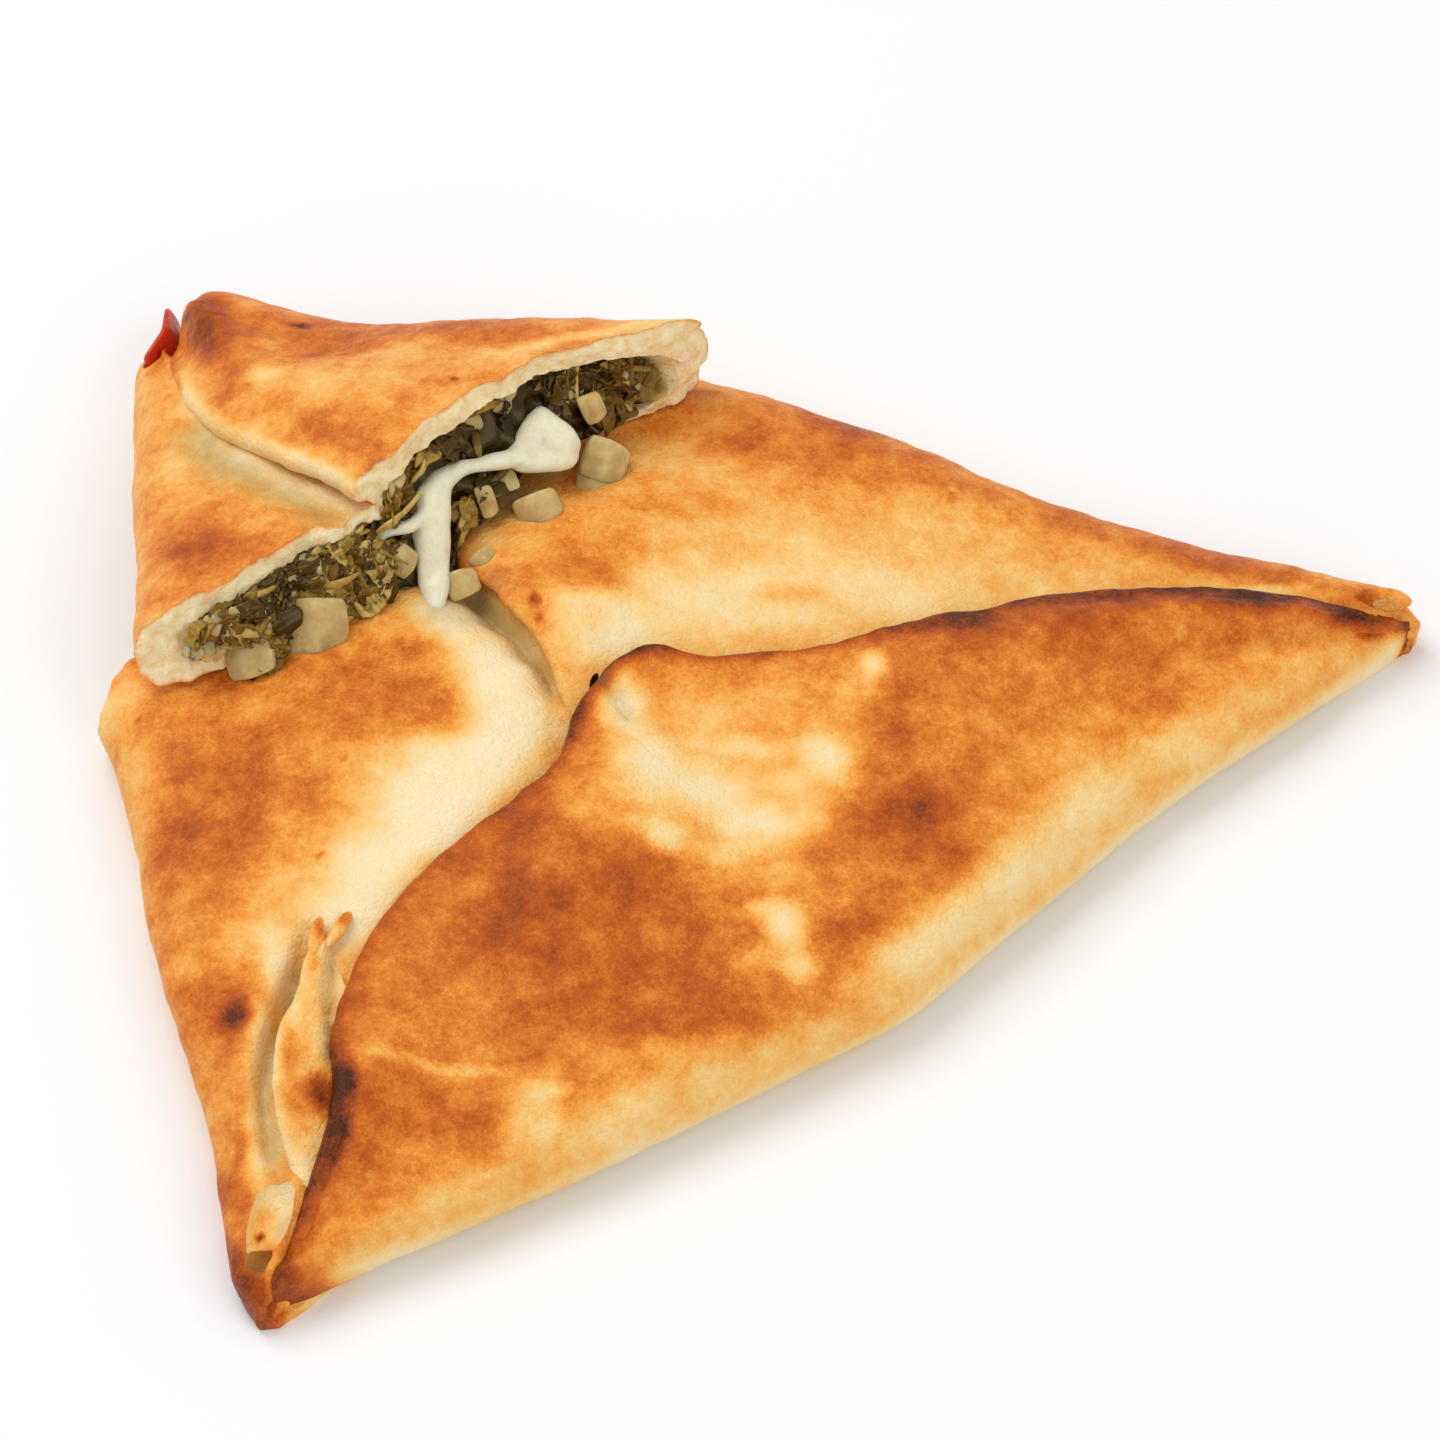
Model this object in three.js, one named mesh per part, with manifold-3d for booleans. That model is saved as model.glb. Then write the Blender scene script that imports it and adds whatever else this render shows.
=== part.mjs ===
// A manakish folded as a large triangle: a round of bread dough turned in along three sides over
// a filling of chopped greens, onion and melted cheese, so that three flaps meet in a Y-shaped seam.
// One corner has been torn off and lies on the torn end, with the filling showing at the tear.
// Millimetres, +Z up. The origin is under the middle of the pie, on the surface that it lies on.
import * as THREE from "three";
import { mergeVertices } from "three/addons/utils/BufferGeometryUtils.js";
import Module from "manifold-3d";

const wasm = await Module();
wasm.setup();

// ---- Driving dimensions -------------------------------------------------------------------
const DOUGH = 4.6; // thickness of one layer of dough
const SIDE_WALL = 3.5; // how much thicker than DOUGH the folded sides are
const GAP = 0.35; // air left between pieces that touch
const SIDE_ROUND = 17; // how far in from the side a flap reaches its full height
const SIDE_BULGE = 6.5; // height at which the side stands out furthest
const FOOT_INSET = 3.5; // how far the foot stands in from the widest outline
const LIFT = 16; // height of the torn corner's underside at its tear
const PIE_CENTRE = [7.16, -18.93]; // middle of the whole pie in the plan below

// ---- Plan of the pie: guide lines as [x, y, height of the dough there] -----------------------
// The front flap lies over the other two, from the near corner to the right corner.
const FRONT_FLAP = {
  outer: [
    [-69, -118, 8], [-47, -107, 13], [-17, -91, 16], [13, -73, 17], [29, -63, 17],
    [45, -47, 17], [61, -31, 16], [77, -16, 14], [93, -3, 12], [112, 13, 8],
  ],
  edge: [
    [-67, -117, 7], [-62, -101, 11.5], [-58, -86, 17], [-58.2, -75, 18.5], [-53, -56, 18.5], [-41, -40, 20],
    [-27, -28, 22], [-20.5, -13, 24.5], [-12, -4.5, 26], [-2, -5.5, 25.5], [10, -4, 24],
    [28, 2, 22.5], [50, 10, 20], [77, 14.5, 17], [95, 14.5, 14], [111, 15, 9],
  ],
  lip: 2.3,
  recess: 2.5,
  crown: 1.5,
};
// The back flap runs from the right corner to the tear. Its edge lies over the left flap.
const BACK_FLAP = {
  outer: [
    [114, 18, 9], [106, 22, 11], [94, 26, 12], [78, 30, 13], [62, 36, 14.5], [46, 43, 16],
    [30, 52, 16.5], [13, 60, 16], [-2, 66, 15], [-18, 73, 12], [-36, 82, 9],
  ],
  edge: [
    [111, 13, 7], [92, 6, 8], [62, -4, 11], [30, -14, 15], [4, -24, 17], [-14, -24, 18],
    [-23, -15, 19.5], [-31, 0, 21], [-38, 13, 19.5], [-52, 32, 13], [-68, 52, 11],
  ],
  lip: 1.9,
  recess: 3.2,
  ledge: [9, 6],
  crown: 1.0,
};
// The left flap runs from the tear to the near corner, under both others. Its filling goes on under them.
const LEFT_FLAP = {
  outer: [
    [-108, 24, 9], [-102, 8, 12], [-99.5, -6, 14], [-95.5, -16, 15.5], [-92.5, -27, 16], [-89, -44, 16],
    [-85, -60, 15], [-79, -78, 13], [-75, -96, 11], [-71, -118, 8],
  ],
  edge: [
    [-80, 40, 9], [-64, 25, 12], [-52, 12.5, 16.5], [-44, 5, 18], [-32, -4.5, 19], [-24, -14, 18.5],
    [-26, -32, 16], [-40, -56, 12], [-50, -88, 7], [-63, -117, 5],
  ],
  lip: 2.2,
  recess: 2,
  ledge: [12, 2.2],
  under: 12,
  crown: 2.5,
};
// A tongue of the left flap's rim stands up along the front flap, near the near corner.
const TONGUE = {
  outer: [[-48, -46, 16], [-48, -60, 16.5], [-49, -78, 16.5], [-52, -94, 14], [-57, -108, 9]],
  edge: [[-61, -51, 16], [-64.5, -62, 16.5], [-67.2, -78, 16.5], [-66, -92, 14.5], [-62.5, -105, 9.5]],
  lip: 1.5,
  recess: 1.5,
  crown: 0.3,
};
// The torn corner, as if it lay flat: its back flap lies over its left flap.
const CORNER_BACK = {
  outer: [
    [-89, 79, 16], [-83, 80, 21], [-72, 77, 19.5], [-56, 71, 19], [-38, 67.5, 20.5], [-18, 64.5, 21.5],
    [0, 61, 21], [14, 57, 19],
  ],
  edge: [
    [-92.5, 68, 12], [-90, 57, 16], [-86, 47, 17], [-79, 36.5, 18], [-67, 26.5, 19], [-54, 13.5, 19.5],
    [-46, 2, 18], [-38, -10, 17],
  ],
  lip: 2,
  recess: 2.8,
  crown: 3,
};
const CORNER_LEFT = {
  outer: [[-90.5, -22, 13], [-92, -8, 14], [-93, 8, 15.5], [-94.5, 28, 16], [-96.5, 50, 15], [-98, 71, 12]],
  edge: [[-34, -12, 15], [-44, 6, 15], [-55, 24, 14.5], [-67, 39, 13.5], [-78, 54, 12], [-90, 74, 10]],
  lip: 2,
  recess: -3,
  under: 8,
  crown: 2,
};
const CORNER_TIP = [-93, 77];
const THIN_TOP = 0.9; // how much thinner than DOUGH the corner's upper layer is, and its lower layer thicker

// Tears, as lines in the plan. The dough above the foot of a tear stands back by its slope, and
// its lower layer stands back beyond a place along the tear: [place, how far, top of the layer].
const BODY_TEAR = {
  line: [[-99, -14], [-97, -4], [-88, 6], [-72, 21], [-56, 35], [-36, 52], [-16, 70]],
  slope: -0.1,
  ragged: 1.2,
};
const CORNER_TEAR = {
  line: [[-98, -11], [-78, -6], [-56, 7.5], [-38, 25], [-20, 40], [-8, 51], [-3, 63]],
  slope: 0.34,
  ragged: 1.1,
  undercut: [0.3, 7, 21],
};
const FILLING_FACE = { shift: 9, lean: 0.75, closing: 0.75, shut: -4 }; // how the filling slopes out of it
// Where the filling also lies under the torn edge: a flap, a stretch of it, and how far it is moved
const SPILL = [[CORNER_BACK, [0.3, 0.8], -8], [CORNER_LEFT, [0.1, 0.5], 9]];

// ---- Small pieces, in the same plan ----------------------------------------------------------------
// Melted cheese, as a string of [x, y, z, radius]: a blob, a band and a thick strand hanging from it.
const CHEESE_LINES = [
  [[-22, 39, 22, 1.6], [-26, 36.5, 23.5, 3.6], [-30.5, 35, 25.5, 4.8], [-35.5, 31.5, 26, 2.6], [-41, 29, 27.5, 2.2],
    [-45.5, 25.5, 28.5, 3.6], [-46.6, 21, 24.5, 3.3], [-46.2, 16.5, 20.5, 2.5], [-45.6, 12, 18.6, 1.9]],
  [[-45, 24, 27, 2.2], [-50, 20.5, 25.5, 1.5], [-53.5, 16.5, 26.5, 1.4], [-57, 12.5, 25.5, 1]],
];
// Pieces of onion: [x, y, z], [length, width, thickness], [turns about x, y and z]
const ONIONS = {
  onion_middle: [[-63.4, 1.8, 20.5], [8.5, 7, 3], [1.1, 0.15, 0.75]],
  onion_left: [[-74.5, -3.4, 23], [8, 5.5, 2.6], [0.9, -0.5, 0.3]],
  onion_right: [[-17.5, 37.6, 20], [9, 5.5, 3], [0.7, 0.3, -0.5]],
  onion_low: [[-28.4, 30, 19.4], [7.5, 6, 3], [0.9, -0.2, 0.7]],
};
const RED_PEPPER = [[-92.2, 71.6, 12.6], [12.5, 6, 1.5], [0.6, 1.1, 1.0]];
const SHREDS = 18; // strips of greens fused on the filling's face
const BITS = 4; // small dice of onion fused on it
// Hollows by the near corner, where the inner dough shows: [centre], [radii], turn
const TIP_HOLLOWS = [[[-66.5, -104.5, 12.5], [3, 4.2, 3], 0.2], [[-66, -112, 9.5], [1.5, 3, 3.6], 0.1]];
// A folded flake on the front flap's rim, the tongue's pinched foot, the two torn points of its
// upper end, and a fold at the right corner
const LUMPS = [
  [[-31, -28.5, 22.2], [4.2, 1.9, 1.5], 0.75], [[-60.5, -87, 15.2], [2.6, 6, 1.7], 0.1],
  [[-61.6, -53.5, 15.6], [1.5, 5, 1.6], -0.1], [[-57.2, -52, 16.2], [1.6, 4.6, 1.4], -0.3],
  [[102.5, 11, 10.8], [5, 1.7, 1.6], -0.15],
];

// Low relief on top of the dough: [x, y, radius, height]
const RELIEF = [
  [2, -24, 15, -4.8], [-9, -15, 8, -2.6], [20, -20, 12, -1.6], [-22, -42, 14, 1.6], [-44, -70, 16, -0.8],
  [38, -24, 16, 1.4], [44, 18, 18, -1.4], [62, 0, 18, 1.0], [-72, -40, 15, 1.0],
  [-62, -22, 14, 1.4], [-8, 28, 16, 0.8], [84, 3, 10, 0.6], [-46, -24, 10, -1.0],
];

// ---- Small helpers ---------------------------------------------------------------------------
const mix = (a, b, t) => a + (b - a) * t;
const smooth = (t) => t * t * (3 - 2 * t);
const clamp = (t) => Math.min(1, Math.max(0, t));
const curve = (points) =>
  new THREE.CatmullRomCurve3(points.map((p) => new THREE.Vector3(...p)), false, "centripetal");

// A seeded generator, so that every run scatters the filling alike.
function seeded(seed) {
  let state = seed;
  return () => {
    state = (state * 1664525 + 1013904223) % 4294967296;
    return state / 4294967296;
  };
}

// An even, wavy value between about -1 and 1, for torn and lumpy surfaces.
const wave = (x, y, z) =>
  0.5 * Math.sin(x * 0.61 + 1.3 * Math.sin(y * 0.37)) +
  0.3 * Math.sin(y * 0.97 + z * 0.71 + 2.1) +
  0.2 * Math.sin(x * 1.7 - z * 1.1 + y * 0.4);

const relief = (x, y) =>
  RELIEF.reduce((sum, [cx, cy, r, h]) => sum + h * Math.exp(-((x - cx) ** 2 + (y - cy) ** 2) / r ** 2), 0);

// A closed mesh as a solid that can be joined and cut.
function solid(geometry) {
  const bare = new THREE.BufferGeometry();
  bare.setAttribute("position", geometry.getAttribute("position"));
  bare.setIndex(geometry.getIndex());
  const merged = mergeVertices(bare, 1e-4);
  const triVerts = new Uint32Array(merged.index.array);
  const make = () =>
    new wasm.Manifold(new wasm.Mesh({ numProp: 3, vertProperties: merged.attributes.position.array, triVerts }));
  const made = make();
  if (made.volume() > 0) return made;
  for (let i = 0; i < triVerts.length; i += 3) [triVerts[i + 1], triVerts[i + 2]] = [triVerts[i + 2], triVerts[i + 1]];
  return make();
}

const union = (solids) => solids.reduce((a, b) => a.add(b));

// The largest body of a solid: loose scraps of a cut are dropped.
const largest = (made) => made.decompose().reduce((a, b) => (b.volume() > a.volume() ? b : a));

// A skin over rings of equally many points, closed at both ends by a fan.
function loft(rings) {
  const around = rings[0].length;
  const positions = rings.flat(2);
  const index = [];
  for (let i = 0; i + 1 < rings.length; i++)
    for (let j = 0; j < around; j++) {
      const [a, b] = [i * around + j, i * around + ((j + 1) % around)];
      index.push(a, b, b + around, a, b + around, a + around);
    }
  for (const [ring, turn] of [[0, 1], [rings.length - 1, -1]]) {
    const middle = [0, 1, 2].map((k) => rings[ring].reduce((sum, p) => sum + p[k], 0) / around);
    const centre = positions.push(...middle) / 3 - 1;
    for (let j = 0; j < around; j++) {
      const [a, b] = [ring * around + j, ring * around + ((j + 1) % around)];
      index.push(...(turn > 0 ? [centre, b, a] : [centre, a, b]));
    }
  }
  const geometry = new THREE.BufferGeometry();
  geometry.setAttribute("position", new THREE.Float32BufferAttribute(positions, 3));
  geometry.setIndex(index);
  return geometry;
}

// ---- Flaps ------------------------------------------------------------------------------------
// One cross-section of a flap, as [distance in from the side, height]: along the foot, up the
// inner wall, round the lip, back over the top and down the side. Inset shrinks it all round.
function section(flap, length, shoulder, lipHeight, inset, topSteps) {
  const { lip, recess, ledge, crown, under = 0 } = flap;
  const top = lipHeight - inset;
  const end = Math.max(length - inset, inset + SIDE_WALL + 3) + (inset > 0 ? under : 0);
  const round = Math.min(lip, (top - inset) * 0.3);
  const floor = Math.max(top - 2 * round - 1.6, inset + 1);
  const wall = inset > 0 ? end : Math.max(end - Math.min(recess, length * 0.25), inset + 2);
  const points = [];
  const start = inset > 0 ? inset + SIDE_WALL : inset;
  const foot = start + Math.min(FOOT_INSET, length * 0.2);
  points.push([foot, inset], [mix(foot, wall, 0.5), inset]);
  if (ledge && inset <= 0) {
    const shelf = Math.max(top - ledge[1], inset + 1);
    const reach = end + Math.min(ledge[0], length * 0.25);
    points.push([reach, inset], [reach, shelf - 0.6], [wall + 0.6, shelf]);
  } else {
    points.push([wall, inset], [wall, mix(inset, floor, 0.6)], [wall, floor]);
  }
  const [lipSteps, underLip] = inset > 0 ? [2, 0] : [4, -1];
  for (let k = 0; k <= lipSteps; k++) {
    const angle = mix(underLip, 0.66, k / lipSteps) * (Math.PI / 2);
    points.push([end - round + round * Math.cos(angle), top - round + round * Math.sin(angle)]);
  }
  const side = Math.min(SIDE_ROUND, length * 0.42);
  const bulge = Math.min(SIDE_BULGE, shoulder * 0.5);
  const from = end - round * 1.8;
  for (let k = 0; k <= topSteps; k++) {
    const t = k / topSteps;
    const s = mix(from, start, t ** 0.85);
    const flat = clamp((s - side) / Math.max(from - side, 1));
    const rise = clamp((s - start) / (side - inset * 0.5));
    const height = mix(shoulder, lipHeight, smooth(flat)) + crown * 4 * flat * (1 - flat);
    const z = mix(bulge, height - inset, Math.sqrt(1 - (1 - rise) ** 2.4));
    points.push([s, Math.max(z, inset + 0.5)]);
  }
  points.push([start + 0.25 * (foot - start), mix(bulge, inset, 0.6)]);
  return points;
}

// A whole flap: its cross-sections set between its outer line and its edge, with round ends.
function flapSolid(flap, { along = 40, topSteps = 9, inset = 0, span = [0, 1], lift = () => 0 } = {}) {
  const outer = curve(flap.outer);
  const edge = curve(flap.edge);
  const rings = [];
  for (let i = 0; i <= along; i++) {
    const u = mix(...span, i / along);
    const from = outer.getPointAt(u);
    const to = edge.getPointAt(u);
    const reach = Math.hypot(to.x - from.x, to.y - from.y);
    const [dx, dy] = [(to.x - from.x) / reach, (to.y - from.y) / reach];
    const ends = Math.min(i, along - i) / 2;
    const full = ends >= 1 ? 1 : Math.sqrt(1 - (1 - Math.max(ends, 0.06)) ** 2);
    const ring = section(flap, reach, from.z, to.z, inset, topSteps).map(([s, z]) => {
      const [x, y] = [from.x + dx * s, from.y + dy * s];
      const share = clamp((z - 8) / 6);
      return [x, y, z + share * relief(x, y)];
    });
    const middle = [0, 1].map((k) => ring.reduce((sum, p) => sum + p[k], 0) / ring.length);
    rings.push(
      ring.map(([x, y, z]) => {
        const [px, py] = [mix(middle[0], x, full), mix(middle[1], y, full)];
        return [px, py, mix(inset, z, 0.45 + 0.55 * full) + lift(px, py)];
      }),
    );
  }
  return solid(loft(rings));
}

// A block that takes away all beyond a tear, with a ragged face. Shift moves the face along.
const LEVELS = [-10, 4, 9, 13, 16, 18.5, 21, 24, 27, 30, 34, 39, 60];
function tearBlock(tear, side, options = {}) {
  const { line, ragged } = tear;
  const { shift = 0, lumps = 1, lean = tear.slope, undercut = [0, 0, 0], steps = 32 } = options;
  const { closing = 1, shut = 0 } = options;
  const path = curve(line.map(([x, y]) => [x, y, 0]));
  const length = path.getLength();
  const [deep, margin] = [120, 30];
  const block = new THREE.BoxGeometry(1, 1, 1, steps, 1, LEVELS.length - 1);
  const place = block.getAttribute("position");
  for (let i = 0; i < place.count; i++) {
    const a = mix(-margin, length + margin, place.getX(i) + 0.5);
    const z = LEVELS[Math.round((place.getZ(i) + 0.5) * (LEVELS.length - 1))];
    const on = clamp(a / length);
    const at = path.getPointAt(on);
    const tangent = path.getTangentAt(on);
    const over = a - on * length;
    const away = [tangent.y * side, -tangent.x * side];
    const face = place.getY(i) < 0;
    const open = 1 - clamp((on - closing) / (1.001 - closing));
    const back = open * undercut[1] * clamp((on - undercut[0]) * 8) * clamp((undercut[2] - z) / 3);
    const rough = ragged * lumps * wave(a * 0.9, z * 1.3, a * 0.35);
    const d = face ? mix(shut, shift, open) + rough - lean * open * Math.max(z - 8, 0) - back : deep;
    place.setXYZ(i, at.x + tangent.x * over + away[0] * d, at.y + tangent.y * over + away[1] * d, z);
  }
  return solid(block);
}

// ---- The torn corner's lift ---------------------------------------------------------------------
// The corner rests on the table at its tip and on the body at its tear.
const [tearStart, tearEnd] = [CORNER_TEAR.line[0], CORNER_TEAR.line[5]];
const tearLength = Math.hypot(tearEnd[0] - tearStart[0], tearEnd[1] - tearStart[1]);
const towardTear = [(tearEnd[1] - tearStart[1]) / tearLength, -(tearEnd[0] - tearStart[0]) / tearLength];
const fromTip = (x, y) => (x - CORNER_TIP[0]) * towardTear[0] + (y - CORNER_TIP[1]) * towardTear[1];
const cornerDepth = fromTip(...tearStart);
const cornerLift = (x, y) => LIFT * clamp((fromTip(x, y) - 4) / (cornerDepth - 4));

// ---- Small pieces -----------------------------------------------------------------------------------
const BODY_SIDE = -1; // which side of its tear a block takes away
const CORNER_SIDE = 1;

// A rounded lump, or a rounded hollow when it is taken away.
function lump([centre, radii, turn]) {
  const ball = new THREE.SphereGeometry(1, 8, 5);
  return solid(ball.scale(...radii).rotateZ(turn).translate(...centre));
}

// A tube of melted cheese along [x, y, z, radius].
function melt(line, grow) {
  const path = curve(line.map(([x, y, z]) => [x, y, z]));
  const [steps, around] = [line.length * 2, 9];
  const frames = path.computeFrenetFrames(steps, false);
  const rings = [];
  for (let i = 0; i <= steps; i++) {
    const at = path.getPoint(i / steps);
    const place = (i / steps) * (line.length - 1);
    const low = Math.min(Math.floor(place), line.length - 2);
    const end = Math.min(i, steps - i) === 0 ? 0.45 : 1;
    const radius = mix(line[low][3], line[low + 1][3], place - low) * end + grow;
    const ring = [];
    const reach = grow * (i === 0 ? -1.2 : i === steps ? 1.2 : 0);
    for (let j = 0; j < around; j++) {
      const angle = (j / around) * Math.PI * 2;
      const out = frames.tangents[i].clone().multiplyScalar(reach);
      out.addScaledVector(frames.normals[i], Math.cos(angle) * radius);
      out.addScaledVector(frames.binormals[i], Math.sin(angle) * radius * 0.8);
      ring.push([at.x + out.x, at.y + out.y, at.z + out.z]);
    }
    rings.push(ring);
  }
  return solid(loft(rings));
}

// A curved chunk: a box bent along its length, thinner towards its ends.
function chunk([centre, size, turns], grow = 0, bend = 0.16, parts = [4, 2, 1]) {
  const box = new THREE.BoxGeometry(1, 1, 1, ...parts);
  const place = box.getAttribute("position");
  for (let i = 0; i < place.count; i++) {
    const [x, y, z] = [place.getX(i) * 2, place.getY(i) * 2, place.getZ(i) * 2];
    const narrow = 1 - 0.22 * x * x - 0.1 * x;
    const thin = (1 - 0.25 * x * x) * (1 - 0.3 * y * y);
    const arch = bend * size[0] * (1 - x * x);
    const half = size.map((length) => length / 2 + grow * 1.6);
    place.setXYZ(i, x * half[0], y * half[1] * narrow, z * half[2] * thin + arch - bend * size[0] * 0.5);
  }
  return solid(box.applyMatrix4(new THREE.Matrix4().makeRotationFromEuler(new THREE.Euler(...turns))).translate(...centre));
}

// A place on the sloping face of the corner's filling, and the directions along it and up it.
const tearPath = curve(CORNER_TEAR.line.map(([x, y]) => [x, y, 0]));
function onFace(along, z) {
  const at = tearPath.getPointAt(along);
  const tangent = tearPath.getTangentAt(along);
  const { shift, lean, closing, shut } = FILLING_FACE;
  const open = 1 - clamp((along - closing) / (1 - closing));
  const d = mix(shut, shift, open) - lean * open * (z - 8);
  const up = new THREE.Vector3(-tangent.y * lean, tangent.x * lean, 1).normalize();
  return { at: [at.x + tangent.y * d, at.y - tangent.x * d, z], tangent, up };
}

// Strips of greens and small dice on the face of the filling.
function shreds() {
  const random = seeded(41);
  const made = [];
  for (let i = 0; i < SHREDS + BITS; i++) {
    const dice = i >= SHREDS;
    const along = mix(0.1, 0.88, random());
    const top = mix(24, 33, clamp(along * 1.9));
    const z = mix(mix(20.5, 17, clamp(along * 2)), top, random());
    const { at, tangent, up } = onFace(along, z);
    const out = new THREE.Vector3().crossVectors(tangent, up).normalize();
    const basis = new THREE.Matrix4().makeBasis(tangent, up, out.clone());
    const spin = new THREE.Euler((random() - 0.5) * 1.3, (random() - 0.5) * 1.1, random() * Math.PI);
    const size = dice
      ? [mix(4, 5.5, random()), mix(3, 4.5, random()), 2.4]
      : [mix(7, 12, random()), mix(2, 3.6, random()), mix(1, 1.5, random())];
    const turned = basis.multiply(new THREE.Matrix4().makeRotationFromEuler(spin));
    const angles = new THREE.Euler().setFromRotationMatrix(turned);
    const push = mix(0.2, 1.8, random());
    const centre = [at[0] + out.x * push, at[1] + out.y * push, at[2] + out.z * push];
    made.push(chunk([centre, size, [angles.x, angles.y, angles.z]], 0, mix(-0.15, 0.2, random()), [3, 1, 1]));
  }
  return union(made);
}

// ---- The two parts of the pie ------------------------------------------------------------------------
// A stretch of a flap, made shorter at both ends for what is to fit inside it.
const within = ([from, to], extra) => [from + extra * 0.03, to - extra * 0.03];

function bodySolids() {
  const shapes = [
    [FRONT_FLAP, { along: 40, topSteps: 8 }, [0.2, 0.84]],
    [BACK_FLAP, { along: 26, topSteps: 6 }, [0.36, 1]],
    [LEFT_FLAP, { along: 28, topSteps: 6 }, [0, 0.66]],
  ];
  const outside = union([
    ...shapes.map(([flap, detail]) => flapSolid(flap, detail)),
    flapSolid(TONGUE, { along: 12, topSteps: 2 }),
    ...LUMPS.map((each) => lump(each)),
  ]);
  const inside = (extra) =>
    union(
      shapes.map(([flap, , span]) =>
        flapSolid(flap, { along: 11, topSteps: 3, inset: DOUGH + extra, span: within(span, extra) }),
      ),
    );
  const cut = (made, options) => made.subtract(tearBlock(BODY_TEAR, BODY_SIDE, options));
  const dough = largest(cut(outside, {}).subtract(inside(0)).subtract(union(TIP_HOLLOWS.map(lump))));
  const filling = largest(cut(inside(2 * GAP), { shift: 1.5, lumps: 1.8 }));
  const room = cut(union(shapes.map(([flap]) => flapSolid(flap, { along: 40, inset: -GAP }))), { shift: 3 });
  return { dough, filling, room };
}

function cornerSolids(body) {
  const flaps = [
    [CORNER_BACK, { along: 22, topSteps: 6, lift: cornerLift }, [0.16, 1]],
    [CORNER_LEFT, { along: 18, topSteps: 6, lift: cornerLift }, [0, 0.72]],
  ];
  const outside = (inset) => union(flaps.map(([flap, detail]) => flapSolid(flap, { ...detail, inset })));
  const inside = (extra) =>
    union(
      flaps.map(([flap, detail, span]) =>
        flapSolid(flap, { ...detail, along: 9, topSteps: 3, inset: DOUGH + extra, span: within(span, extra) }),
      ),
    ).translate(0, 0, THIN_TOP);
  const spill = union(
    SPILL.map(([flap, span, aside]) => {
      const shape = flapSolid(flap, { along: 6, topSteps: 3, lift: cornerLift, span, inset: DOUGH + GAP });
      return shape.translate(aside, -2.5, -DOUGH);
    }),
  );
  const cut = (made, options) => made.subtract(tearBlock(CORNER_TEAR, CORNER_SIDE, options));
  const under = { undercut: CORNER_TEAR.undercut, closing: 0.75, shut: 2 };
  const pepper = chunk(RED_PEPPER);
  const dough = largest(
    cut(outside(0), under).subtract(inside(0)).subtract(body).subtract(chunk(RED_PEPPER, GAP)),
  );
  const around = cut(outside(-1.4 * GAP), { ...under, shift: 1.4 * GAP, shut: 2 + 1.4 * GAP });
  const taken = around.subtract(inside(GAP)).add(body);
  const cheese = largest(union(CHEESE_LINES.map((line) => melt(line, 0))).subtract(taken));
  const onions = Object.entries(ONIONS).map(([name, place]) => [
    name, largest(chunk(place).subtract(taken).subtract(union(CHEESE_LINES.map((line) => melt(line, GAP))))),
  ]);
  const face = { ...FILLING_FACE, lumps: 1.5, steps: 18 };
  const core = cut(inside(2 * GAP), face).subtract(body).add(cut(spill, face).subtract(taken));
  const others = union([
    ...CHEESE_LINES.map((line) => melt(line, GAP)),
    ...Object.values(ONIONS).map((place) => chunk(place, GAP)),
    chunk(RED_PEPPER, GAP),
  ]);
  const filling = largest(core.add(shreds().subtract(taken)).subtract(others));
  return { dough, filling, cheese, onions, pepper };
}

// ---- The group -------------------------------------------------------------------------------------
const pie = new THREE.Group();
pie.position.set(-PIE_CENTRE[0], -PIE_CENTRE[1], 0);

function addNode(name, made, material) {
  const { vertProperties, triVerts, numProp, numVert } = made.getMesh();
  const positions = new Float32Array(numVert * 3);
  for (let i = 0; i < numVert; i++) positions.set(vertProperties.subarray(i * numProp, i * numProp + 3), i * 3);
  const geometry = new THREE.BufferGeometry();
  geometry.setAttribute("position", new THREE.BufferAttribute(positions, 3));
  geometry.setIndex(new THREE.BufferAttribute(triVerts, 1));
  const mesh = new THREE.Mesh(geometry, material);
  mesh.name = name;
  pie.add(mesh);
}

const food = (color, roughness) => new THREE.MeshStandardMaterial({ color, roughness, metalness: 0 });
const crust = food(0xd08a45, 0.6);
const greens = food(0x4a4524, 0.35);
const cheese = food(0xf0efe4, 0.4);
const onion = food(0xc9b878, 0.3);
const pepper = food(0xb3180c, 0.35);

const body = bodySolids();
const corner = cornerSolids(body.room);
addNode("dough_body", body.dough, crust);
addNode("dough_corner", corner.dough, crust);
addNode("filling_body", body.filling, greens);
addNode("filling_corner", corner.filling, greens);
addNode("cheese", corner.cheese, cheese);
for (const [name, made] of corner.onions) addNode(name, made, onion);
addNode("red_pepper", corner.pepper, pepper);

export default pie;
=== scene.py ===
"""The looks of a folded manakish whose corner is torn off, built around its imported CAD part.

Guide lines are in millimetres in the pie's own plan. Every piece is placed in the part's frame, in metres.
"""

import math
import random

import bpy
import numpy as np
from mathutils import Euler, Matrix, Vector, noise
from mathutils.bvhtree import BVHTree


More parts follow.
